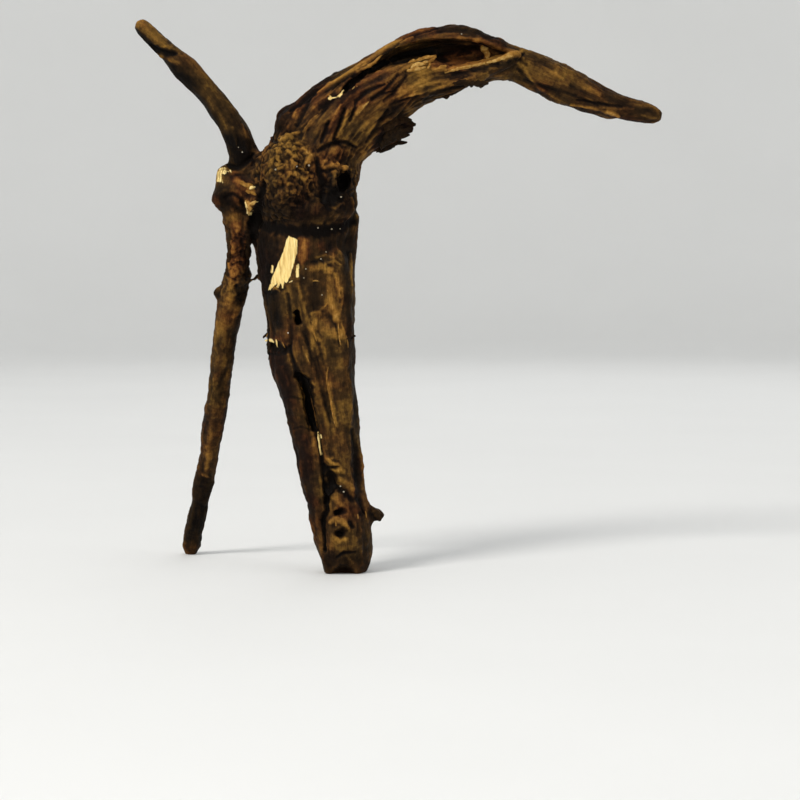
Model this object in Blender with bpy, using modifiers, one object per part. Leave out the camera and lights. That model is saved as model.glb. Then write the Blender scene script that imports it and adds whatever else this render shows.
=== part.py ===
"""Dry root: a weathered woody root that stands on its broken foot and on one thin side root.

The whole thing grew as one piece of wood, so it is one solid. A thick trunk carries a knobbly burl. From the
burl a torn, hollow arch rises to the right and runs out in a smooth branch, and a straight branch rises to the
left from a knot. A thin leg runs down from the same knot and splays backwards to the ground.

Tables are in millimetres: x to the right, y away from the front, z up. The origin is the middle of the flat sole
of the thick foot.
"""
from math import cos, pi, sin, sqrt

import bmesh
import bpy
import numpy as np
from mathutils import Matrix, Vector

MM = 0.001
NAME = "dry_root"

# How the surface is worked out
SIDES = 20                # points round a limb
STEPS = 4                 # rings from one station to the next
ROUNDING = ((0.45, 0.85), (0.8, 0.5))   # share of the end's half width: how far out, and how wide
VOXEL = 1.0               # grid on which the limbs grow together
SMOOTHING = 3
BROAD_LUMPS = (11.0, 1.3)   # size and height of the slow waves in the bark
FINE_LUMPS = (4.0, 0.7)     # size and height of the small ones
TRIANGLES_KEPT = 0.115     # share of the triangles that the flat stretches can spare

# Colour and finish of dry, slightly waxy bark
BARK_COLOUR = (0.102, 0.049, 0.018, 1.0)
BARK_ROUGHNESS = 0.62

# Limbs. A station is x, y, z, half width across the front view, half depth from front to back.
LIMBS = {
    "trunk": (
        (-0.4, 2.0, -3.0, 5.6, 7.6), (0.5, 1.2, 5.0, 7.9, 8.8), (-0.4, 0.4, 12.0, 9.0, 9.4),
        (-2.2, 0.0, 24.0, 8.4, 9.0), (-4.3, 0.0, 36.0, 8.9, 9.2), (-6.2, 0.0, 48.0, 9.7, 9.6),
        (-8.7, 0.0, 58.0, 11.1, 10.4), (-10.8, 0.0, 68.0, 12.5, 11.2), (-11.5, 0.0, 80.0, 12.7, 11.8),
        (-12.4, 0.0, 92.0, 13.7, 12.2), (-12.4, 0.3, 105.0, 15.2, 12.4), (-11.8, 0.5, 118.0, 15.2, 13.4),
        (-10.6, 0.5, 130.0, 14.4, 12.6),
    ),
    "left_strand": (
        (-16.2, -4.5, 78.0, 5.2, 4.0), (-17.0, -5.0, 66.0, 4.6, 4.4), (-15.2, -5.4, 56.0, 4.0, 4.6),
        (-12.9, -5.2, 46.0, 4.1, 4.4), (-10.7, -4.8, 36.0, 3.9, 4.2), (-8.6, -4.4, 26.0, 3.4, 4.0),
        (-6.8, -4.0, 15.0, 2.9, 3.8), (-4.8, -2.6, 5.0, 2.4, 3.4), (-4.2, -1.8, -3.0, 1.9, 3.0),
    ),
    "front_strand": (
        (-4.8, -6.0, 98.0, 6.2, 4.8), (-3.2, -6.4, 84.0, 5.8, 4.9), (-3.0, -6.2, 68.0, 5.4, 4.4),
        (-2.0, -5.6, 52.0, 4.9, 4.0), (-0.8, -5.0, 36.0, 4.4, 3.8), (1.0, -4.4, 20.0, 4.4, 3.8),
        (2.6, -3.0, 7.0, 4.1, 3.4), (3.2, -1.6, -3.0, 2.8, 3.2),
    ),
    "right_strand": (
        (1.4, 1.0, 112.0, 3.3, 5.0), (0.4, 0.6, 92.0, 2.7, 5.0), (0.5, 0.4, 70.0, 2.5, 5.0),
        (1.9, 0.2, 50.0, 2.3, 4.6), (3.5, 0.0, 34.0, 2.2, 4.2), (5.8, 0.0, 18.0, 2.2, 4.0),
        (6.6, 0.6, 7.0, 2.4, 4.0), (4.2, 1.2, -3.0, 1.8, 3.4),
    ),
    "back_strand": (
        (-8.0, 7.4, 120.0, 6.0, 6.0), (-9.6, 7.0, 100.0, 5.4, 6.0), (-12.6, 6.4, 80.0, 5.0, 5.6),
        (-9.0, 5.6, 58.0, 4.6, 5.0), (-5.0, 5.2, 36.0, 4.4, 4.6), (-2.2, 5.0, 16.0, 4.0, 4.6),
        (-0.6, 4.6, -3.0, 3.2, 4.0),
    ),
    "arch": (
        (-9.7, 0.0, 124.0, 14.6, 12.8), (-8.4, 0.0, 132.6, 14.4, 12.4), (-2.2, -0.8, 141.2, 12.8, 11.6),
        (7.2, -1.8, 147.8, 11.6, 10.6), (15.9, -2.2, 153.6, 11.0, 9.8), (24.1, -2.2, 157.8, 10.9, 9.2),
        (30.9, -2.0, 159.6, 10.7, 8.6), (38.1, -1.0, 160.9, 9.2, 7.8), (45.0, 0.0, 160.6, 7.4, 6.6),
        (50.0, 1.0, 160.0, 5.6, 5.6),
    ),
    "arch_wall": (
        (24.0, -8.6, 151.4, 4.4, 1.7), (34.4, -8.4, 153.6, 3.7, 1.6), (42.2, -7.4, 156.2, 2.9, 1.5),
        (48.6, -6.2, 159.0, 1.8, 1.3), (54.6, -4.6, 161.8, 0.9, 1.0),
    ),
    "arch_flap": (
        (8.0, -3.4, 142.4, 3.4, 2.4), (13.0, -3.8, 140.6, 3.0, 1.6), (17.4, -4.0, 139.4, 2.8, 1.3),
        (21.6, -4.2, 138.4, 1.6, 1.0),
    ),
    "arch_keel": (
        (-4.0, -1.0, 131.0, 7.0, 8.0), (4.0, -1.5, 134.4, 5.4, 6.4), (10.0, -2.0, 136.6, 4.2, 4.6),
        (15.0, -2.4, 137.8, 3.2, 3.0), (18.6, -3.0, 138.4, 2.4, 2.0),
    ),
    "burl_lip": (
        (-25.5, -5.5, 116.0, 4.0, 5.0), (-17.5, -9.6, 114.0, 4.0, 5.0), (-8.5, -9.8, 113.8, 3.8, 4.6),
        (-1.0, -7.0, 114.6, 3.8, 4.4), (1.2, -2.6, 115.6, 3.4, 4.0),
    ),
    "right_branch": (
        (42.5, 2.0, 161.0, 6.0, 5.6), (50.0, 2.5, 160.1, 5.5, 5.2), (54.6, 3.0, 158.9, 5.1, 5.0),
        (61.3, 4.0, 155.8, 5.2, 5.2), (67.6, 5.0, 153.0, 5.3, 5.3), (75.8, 6.0, 149.6, 5.0, 5.0),
        (82.5, 7.0, 146.7, 4.4, 4.4), (88.0, 7.5, 145.2, 3.7, 3.7), (94.0, 8.0, 144.2, 3.2, 3.2),
        (97.4, 8.0, 143.6, 2.6, 2.7),
    ),
    "left_branch": (
        (-31.2, -1.0, 122.0, 4.4, 4.8), (-31.0, -1.5, 129.6, 4.5, 4.8), (-31.8, -2.0, 134.4, 4.1, 4.4),
        (-33.6, -2.5, 138.1, 3.9, 4.1), (-37.9, -3.5, 144.9, 3.4, 3.7), (-41.8, -4.5, 149.8, 3.3, 3.5),
        (-48.8, -6.0, 157.2, 3.5, 3.5), (-52.2, -6.5, 160.7, 3.3, 3.3), (-56.4, -7.0, 164.6, 2.8, 3.0),
        (-59.6, -7.5, 167.7, 2.6, 2.8), (-61.9, -8.0, 169.9, 2.2, 2.5),
    ),
    "leg": (
        (-33.8, 0.0, 117.0, 5.2, 5.2), (-33.7, 1.5, 108.4, 4.2, 4.5), (-33.3, 4.0, 101.6, 3.7, 4.0),
        (-33.8, 7.0, 94.8, 3.9, 4.1), (-34.6, 9.0, 89.7, 4.2, 4.2), (-36.0, 11.0, 84.6, 4.0, 4.0),
        (-37.9, 15.0, 74.3, 3.7, 3.8), (-39.5, 19.0, 63.9, 3.3, 3.5), (-41.2, 23.0, 53.4, 3.1, 3.3),
        (-43.2, 27.5, 42.8, 3.1, 3.2), (-45.0, 32.0, 32.0, 3.0, 3.1), (-47.4, 36.5, 21.2, 2.8, 3.0),
        (-50.0, 41.0, 10.2, 2.6, 2.8), (-51.6, 45.0, 1.9, 2.4, 2.6), (-52.2, 46.6, -3.0, 2.3, 2.5),
    ),
    "rootlet": (
        (-31.6, 4.0, 90.2, 0.9, 0.9), (-29.0, 3.0, 91.4, 0.8, 0.8), (-26.6, 1.5, 92.8, 0.9, 0.9),
        (-24.0, 0.0, 93.6, 1.1, 1.1),
    ),
    "foot_nub": (
        (5.0, 0.0, 18.6, 3.0, 3.0), (8.4, 0.0, 18.6, 2.2, 2.2), (10.6, 0.0, 18.0, 1.8, 1.8),
    ),
}

# Rounded masses: x, y, z of the middle, then the half sizes along x, y and z
LUMPS = {
    "burl": (-17.0, -4.0, 123.4, 9.8, 12.6, 13.4),
    "burl_right": (-3.6, -4.2, 121.8, 7.6, 9.0, 9.6),
    "burl_back": (-12.0, 5.0, 121.0, 14.0, 11.0, 12.0),
    "arch_shoulder": (-15.4, 0.0, 139.2, 6.4, 9.6, 7.4),
    "knot": (-34.0, -1.4, 119.4, 6.4, 6.4, 7.2),
    "knot_lump": (-37.8, -2.4, 117.2, 3.4, 3.8, 4.0),
    "knot_shelf": (-37.2, -3.0, 124.2, 2.6, 3.0, 3.2),
    "neck": (-27.0, -1.0, 121.6, 6.0, 6.8, 9.4),
    "crotch": (-28.8, 0.6, 108.4, 3.0, 4.4, 4.8),
    "leg_nub_right": (-30.0, 7.0, 93.8, 1.5, 1.5, 1.5),
    "leg_nub_left": (-40.2, 10.0, 87.6, 1.5, 1.4, 1.6),
}

# Hollows cut out of the finished form, as limbs again: x, y, z, half width, half depth
HOLLOWS = {
    "arch_hollow": (
        (0.6, -12.4, 151.2, 0.9, 3.0), (8.8, -12.0, 156.2, 1.8, 5.0), (16.9, -11.0, 160.8, 2.9, 7.4),
        (25.0, -10.0, 162.6, 3.4, 8.4), (33.1, -9.0, 162.0, 4.2, 8.6), (40.6, -8.0, 162.2, 3.8, 8.0),
        (46.9, -6.6, 161.8, 2.2, 6.0), (51.0, -5.0, 162.0, 1.0, 3.6),
    ),
    "crack": (
        (-15.0, -11.6, 62.6, 0.8, 3.0), (-12.6, -11.4, 59.4, 1.4, 5.0), (-11.3, -11.2, 54.4, 1.6, 6.0),
        (-10.3, -11.0, 49.4, 1.4, 5.6), (-9.8, -11.0, 45.4, 0.8, 4.0),
    ),
}

# Round holes: x, y, z of the middle, then the half sizes along x, y and z
HOLES = {
    "slit": (-14.5, -12.4, 80.2, 1.2, 4.6, 2.2),
    "eye": (0.3, -12.0, 122.8, 2.3, 5.6, 3.1),
    "foot_hollow": (-4.2, -10.2, 28.8, 2.8, 3.4, 4.2),
    "foot_hole_upper": (-1.9, -10.2, 19.4, 1.5, 3.2, 1.5),
    "foot_hole_lower": (-1.2, -10.4, 12.4, 1.7, 3.6, 1.5),
    "sole_notch": (-0.2, -7.4, -0.4, 4.3, 4.8, 3.6),
}

# Small round nodules all over the front of the burl
NODULES = 46
NODULE_RADIUS = 2.3
NODULE_SINK = 0.9
GOLDEN_ANGLE = pi * (3.0 - sqrt(5.0))


def clear_scene():
    """Removes every object the scene starts with."""
    for obj in list(bpy.data.objects):
        bpy.data.objects.remove(obj, do_unlink=True)


def new_collection(name):
    """A collection under the scene's own one."""
    collection = bpy.data.collections.new(name)
    bpy.context.scene.collection.children.link(collection)
    return collection


def smooth_stations(stations):
    """The stations with STEPS - 1 more between each two, on a Catmull-Rom curve through place and size."""
    knots = [np.array(s) for s in (stations[0],) + tuple(stations) + (stations[-1],)]
    rows = []
    for before, start, end, after in zip(knots, knots[1:], knots[2:], knots[3:]):
        for step in range(STEPS):
            t = step / STEPS
            rows.append(0.5 * (2.0 * start + (end - before) * t
                               + (2.0 * before - 5.0 * start + 4.0 * end - after) * t ** 2
                               + (3.0 * start - before - 3.0 * end + after) * t ** 3))
    rows.append(knots[-1])
    return rows


def round_off(rows):
    """Adds the smaller rings that round both ends of a limb."""
    def dome(end, inner):
        outward = Vector(end[:3]) - Vector(inner[:3])
        outward.normalize()
        reach = min(end[3], end[4])
        return [np.array((*(Vector(end[:3]) + outward * reach * out), end[3] * wide, end[4] * wide))
                for out, wide in ROUNDING]
    return dome(rows[0], rows[1])[::-1] + rows + dome(rows[-1], rows[-2])


def add_limb(bm, stations):
    """A closed limb lofted through oval rings, whose depth lies as near to the y axis as its run allows."""
    rows = round_off(smooth_stations(stations))
    rings = []
    for index, (x, y, z, half_width, half_depth) in enumerate(rows):
        ahead = Vector(rows[min(index + 1, len(rows) - 1)][:3])
        behind = Vector(rows[max(index - 1, 0)][:3])
        run = (ahead - behind).normalized()
        depth = (Vector((0.0, 1.0, 0.0)) - run * run.y).normalized()
        width = depth.cross(run)
        place = Matrix((width * half_width, depth * half_depth, run)).transposed().to_4x4()
        place.translation = Vector((x, y, z))
        capped = index in (0, len(rows) - 1)
        made = bmesh.ops.create_circle(bm, cap_ends=capped, segments=SIDES, radius=1.0, matrix=place)
        corners = set(made["verts"])
        rings.append([e for e in bm.edges if corners.issuperset(e.verts)])
    for lower, upper in zip(rings, rings[1:]):
        bmesh.ops.bridge_loops(bm, edges=lower + upper)


def add_lump(bm, x, y, z, half_x, half_y, half_z):
    """A closed ellipsoid."""
    place = Matrix.Translation((x, y, z)) @ Matrix.Diagonal((half_x, half_y, half_z, 1.0))
    bmesh.ops.create_icosphere(bm, subdivisions=3, radius=1.0, matrix=place)


def add_nodules(bm):
    """Spreads the burl's nodules evenly over the front half of it, by the golden angle."""
    x, y, z, half_x, half_y, half_z = LUMPS["burl"]
    for index in range(NODULES):
        front = 1.0 - 0.95 * (index + 0.5) / NODULES
        aside = sqrt(1.0 - front ** 2)
        turn = index * GOLDEN_ANGLE
        out = Vector((aside * cos(turn), -front, aside * sin(turn)))
        size = NODULE_RADIUS * (1.0 + 0.22 * sin(3.7 * index))
        centre = Vector((x + out.x * (half_x - NODULE_SINK), y + out.y * (half_y - NODULE_SINK),
                         z + out.z * (half_z - NODULE_SINK)))
        bmesh.ops.create_icosphere(bm, subdivisions=2, radius=size, matrix=Matrix.Translation(centre))


def finish_mesh(bm, name, collection):
    """Turns the bmesh's millimetres into metres, faces it outwards and links it as an object."""
    bmesh.ops.scale(bm, vec=(MM, MM, MM), verts=bm.verts)
    bmesh.ops.recalc_face_normals(bm, faces=bm.faces)
    mesh = bpy.data.meshes.new(name)
    bm.to_mesh(mesh)
    bm.free()
    mesh.shade_smooth()
    obj = bpy.data.objects.new(name, mesh)
    collection.objects.link(obj)
    return obj


def bark_material():
    """Dry bark: brown, matt with a slight sheen."""
    material = bpy.data.materials.new("Dry bark")
    material.use_nodes = True
    shader = material.node_tree.nodes["Principled BSDF"]
    shader.inputs["Base Color"].default_value = BARK_COLOUR
    shader.inputs["Roughness"].default_value = BARK_ROUGHNESS
    shader.inputs["Metallic"].default_value = 0.0
    return material


def add_lumps_modifier(obj, name, size, height):
    """Waves of the given size and height, both in millimetres, over the whole surface."""
    texture = bpy.data.textures.new(name, "CLOUDS")
    texture.noise_scale = size * MM
    texture.noise_depth = 1
    waves = obj.modifiers.new(name, "DISPLACE")
    waves.texture = texture
    waves.texture_coords = "LOCAL"
    waves.strength = height * MM
    waves.mid_level = 0.5


def add_cut(obj, cutter):
    """Cuts a cutter's shape out of the object and keeps the cutter out of sight."""
    cut = obj.modifiers.new("Cut " + cutter.name, "BOOLEAN")
    cut.operation = "DIFFERENCE"
    cut.solver = "EXACT"
    cut.object = cutter
    cutter.hide_render = True
    cutter.display_type = "WIRE"


def make_root(collection):
    """The limbs and rounded masses, grown together into one closed solid."""
    bm = bmesh.new()
    for stations in LIMBS.values():
        add_limb(bm, stations)
    for sizes in LUMPS.values():
        add_lump(bm, *sizes)
    add_nodules(bm)
    root = finish_mesh(bm, NAME, collection)
    root.data.materials.append(bark_material())

    grown = root.modifiers.new("Grow together", "REMESH")
    grown.mode = "VOXEL"
    grown.voxel_size = VOXEL * MM
    grown.use_smooth_shade = True
    soft = root.modifiers.new("Soften", "SMOOTH")
    soft.factor = 0.5
    soft.iterations = SMOOTHING
    add_lumps_modifier(root, "Broad waves", *BROAD_LUMPS)
    add_lumps_modifier(root, "Fine waves", *FINE_LUMPS)
    thinned = root.modifiers.new("Thin out", "DECIMATE")
    thinned.ratio = TRIANGLES_KEPT
    thinned.use_collapse_triangulate = True
    return root


def make_cutters(collection):
    """The hollows, the holes and the block that cuts both feet flat at the ground."""
    cutters = []
    for name, stations in HOLLOWS.items():
        bm = bmesh.new()
        add_limb(bm, stations)
        cutters.append(finish_mesh(bm, "cut_" + name, collection))
    for name, sizes in HOLES.items():
        bm = bmesh.new()
        add_lump(bm, *sizes)
        cutters.append(finish_mesh(bm, "cut_" + name, collection))
    bm = bmesh.new()
    block = Matrix.Translation((0.0, 20.0, -20.0)) @ Matrix.Diagonal((240.0, 160.0, 40.0, 1.0))
    bmesh.ops.create_cube(bm, size=1.0, matrix=block)
    cutters.append(finish_mesh(bm, "cut_ground", collection))
    return cutters


def main():
    clear_scene()
    parts = new_collection(NAME)
    tools = new_collection(NAME + "_cutters")
    root = make_root(parts)
    for cutter in make_cutters(tools):
        add_cut(root, cutter)


main()
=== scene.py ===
"""The looks of a dry root: weathered wood, fresh breaks and torn fibres, around its fixed frame.

Places are in millimetres on the frame's axes until a mesh is written in metres.
"""

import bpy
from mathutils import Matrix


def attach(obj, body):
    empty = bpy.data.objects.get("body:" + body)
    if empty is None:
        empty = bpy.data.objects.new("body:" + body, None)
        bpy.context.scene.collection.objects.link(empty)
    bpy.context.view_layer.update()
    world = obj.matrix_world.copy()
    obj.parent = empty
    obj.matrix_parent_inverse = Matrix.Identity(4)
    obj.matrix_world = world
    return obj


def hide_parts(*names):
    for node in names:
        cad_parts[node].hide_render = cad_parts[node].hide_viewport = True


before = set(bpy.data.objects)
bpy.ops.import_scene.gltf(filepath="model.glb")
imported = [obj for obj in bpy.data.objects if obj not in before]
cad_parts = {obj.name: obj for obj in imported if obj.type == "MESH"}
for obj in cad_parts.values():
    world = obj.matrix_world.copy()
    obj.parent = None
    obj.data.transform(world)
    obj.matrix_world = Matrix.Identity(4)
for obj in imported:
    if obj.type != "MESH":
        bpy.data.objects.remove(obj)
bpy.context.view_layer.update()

import math

import bmesh
import bpy
import numpy as np
from bpy.props import FloatProperty, FloatVectorProperty, IntProperty, PointerProperty
from mathutils import Matrix, Vector, noise
from mathutils.bvhtree import BVHTree

bl_info = {
    "name": "Dry Root",
    "version": (1, 0, 0),
    "blender": (4, 5, 0),
    "location": "3D View > Sidebar > Dry Root",
    "description": "Weathered wood, fresh breaks and torn fibres of a small dry root, and its studio",
    "category": "Object",
}

MM = 0.001
NODE = "dry_root"
BODY = "root"

# The front view: the camera's place in mm, its pitch in degrees, and its lens on a 36 mm sensor.
CAMERA_PLACE = (17.5, -850.0, 113.7)
CAMERA_PITCH = -4.0
CAMERA_LENS = 122.4
SENSOR_WIDTH = 36.0

# The core of each limb, root end first: x, y, z and radius in mm, and how much the limb's wood swells
# out over the solid, in mm.
# "start" is the grain's reading at the first place and "side" the limb's shift from the trunk's core,
# so that the grain of two limbs agrees where they meet.
GRAIN_PATHS = {
    "trunk": {
        "start": 0.0, "side": 0.0,
        "core": ((0, 1, 0, 8, 0.2), (-0.6, 0.4, 12, 9, 0.3), (-2.4, 0, 24, 9, 0.3), (-6.2, 0, 48, 10, 0),
                 (-8.8, 0, 58, 11, 0.35), (-11.5, 0, 80, 12.5, 0.2), (-12.4, 0, 105, 14, 0.1),
                 (-10.8, 0, 124, 14, 0)),
    },
    "arch": {
        "start": 122.0, "side": 0.0,
        "core": ((-11, 0, 122, 14, 0), (-7.5, 0, 133, 13.5, 0), (0, -1, 142, 12, 0), (8, -2, 148.6, 11, 0),
                 (24, -2.2, 157.4, 10, 0), (38, -1, 160.4, 8, 0), (50, 2, 160.2, 5.6, 0.3)),
    },
    "right_branch": {
        "start": 200.0, "side": 0.0,
        "core": ((50, 2, 160.2, 5.6, 0.3), (56, 3, 158.1, 5.4, 1.3), (61, 4, 156, 5.2, 1.1),
                 (68, 5, 153, 5.1, 0.2), (75.8, 6, 149.6, 5, 0), (88, 7.5, 145.2, 3.8, 0.3),
                 (99, 8, 143.4, 2.6, 0)),
    },
    "left_branch": {
        "start": 119.0, "side": -20.0,
        "core": ((-30.6, -1, 119, 4.6, 0), (-31, -1.5, 129.6, 4.6, 0.35), (-33.6, -2.5, 138.1, 4, 0.35),
                 (-41.8, -4.5, 149.8, 3.4, 0.3), (-52.2, -6.5, 160.7, 3.3, 0.4), (-62.4, -8, 170.4, 2.3, 0)),
    },
    "leg": {
        "start": -12.0, "side": -22.0,
        "core": ((-52.2, 46.6, -3, 2.3, 0.6), (-50, 41, 10.2, 2.7, 0.75), (-46.4, 34.5, 26, 2.9, 0.2),
                 (-45, 32, 32, 3, 0.5), (-41.2, 23, 53.4, 3.2, 0.45), (-37.9, 15, 74.3, 3.7, 0.65),
                 (-34.6, 9, 89.7, 4.2, 0), (-33.3, 4, 101.6, 3.9, 0), (-34, 0, 117, 5.2, 0)),
    },
}
# A core is read at even steps of this many mm, and rounded this often.
CORE_STEP = 2.5
CORE_ROUNDING = 12
# How sharply one limb's surface gives way to the next, and the least distance in mm that counts.
LIMB_SHARPNESS = 8
LIMB_NEAREST = 0.3

# The swollen parts, where the grain is lost in small nodules: centre and half sizes in mm, and how
# much of the surface the nodules take.
BURLS = (
    ((-17, -4, 123.4), (10.6, 13.4, 13.6), 1.0),
    ((-4.4, -4.2, 121.6), (8.2, 9.6, 9.8), 1.0),
    ((-12, 5, 121), (14.4, 11.4, 12), 0.45),
    ((-34.6, 5, 100), (7, 8, 15), 0.5),
)
# The nodules give way to straight grain between these shares of a swollen part's size.
BURL_FADE = (0.98, 1.26)
BURL_RAGGEDNESS = 0.12

# What each limb's surface is like. Heights in mm: its long strands, its fibres, the bark left on it,
# its flakes and its chips. Its tone goes from 0, near black, to 1, tan, and streaks and mottles change
# it by these shares. Its redness goes from 0, olive, to 1, rust.
LIMB_SURFACES = {
    "trunk": {
        "strand": 0.26, "fibre": 0.16, "bark": 0.14, "flake": 0.12, "chip": 0.20,
        "tone": 0.52, "streak": 0.26, "mottle": 1.0, "redness": 0.33},
    "arch": {
        "strand": 0.50, "fibre": 0.26, "bark": 0.20, "flake": 0.08, "chip": 0.80,
        "tone": 0.60, "streak": 0.52, "mottle": 0.4, "redness": 0.44},
    "right_branch": {
        "strand": 0.32, "fibre": 0.22, "bark": 0.12, "flake": 0.05, "chip": 0.15,
        "tone": 0.53, "streak": 0.7, "mottle": 0.55, "redness": 0.3},
    "left_branch": {
        "strand": 0.18, "fibre": 0.12, "bark": 0.10, "flake": 0.05, "chip": 0.10,
        "tone": 0.43, "streak": 0.5, "mottle": 0.6, "redness": 0.20},
    "leg": {
        "strand": 0.16, "fibre": 0.10, "bark": 0.10, "flake": 0.14, "chip": 0.30,
        "tone": 0.54, "streak": 0.26, "mottle": 0.8, "redness": 0.30},
}

# The wood's patterns, each as the size of its grain in mm and its seed. A size is one number, or goes
# across, deep and along the limb. The widths of the strands and fibres are settings.
PATTERNS = {
    "gnarls": ((2.6, 2.6, 12), 4),
    "pits": (1.6, 8),
    "mottles": ((2.4, 2.4, 4.2), 16),
    "splits": ((4.2, 4.2, 44), 9),
    "split_places": ((8, 8, 30), 10),
    "bark": ((5, 5, 12), 11),
    "bark_edges": (1.9, 12),
    "chips": ((2.8, 2.8, 9.0), 23),
    "torn_fibres": ((1.1, 1.1, 12), 21),
    "worms": (1.5, 20),
    "grit": (0.9, 22),
    "burl_edges": (4, 24),
    "waves": (8, 7),
    "red_places": (14, 14),
    "stroke_edges": (1.4, 15),
}
STRAND_LENGTH = 46
FIBRE_LENGTH = 10
THREAD_LENGTH = 8
# The grain bends over this many mm and by this many, and the nodules are pushed about over this many.
BEND_SIZE = 11
BEND_REACH = 1.6
WARP_SIZE = 2.6
# How much the broad waves change the height in mm, and the tone.
WAVE_HEIGHT = 0.18
WAVE_TONE = 0.08
# How much the red places and the bark that is left change the redness.
RED_VARIETY = 0.5
BARK_REDNESS = 0.15
# Patterns of different seeds are read this far apart, and the cells' chances at this scale.
SEED_SPREAD = 13.7
CHANCE_SCALE = 7.3

# The thin rootlet between the side root and the trunk: x, y, z and radius in mm.
ROOTLET = (
    (-33.6, 7.0, 88.4, 0.9), (-31.6, 5.4, 90.1, 0.7), (-29.4, 3.6, 91.6, 0.58), (-27.4, 2.0, 92.6, 0.56),
    (-25.6, 0.8, 93.7, 0.6), (-22.4, 0.0, 94.6, 0.8))

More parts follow.
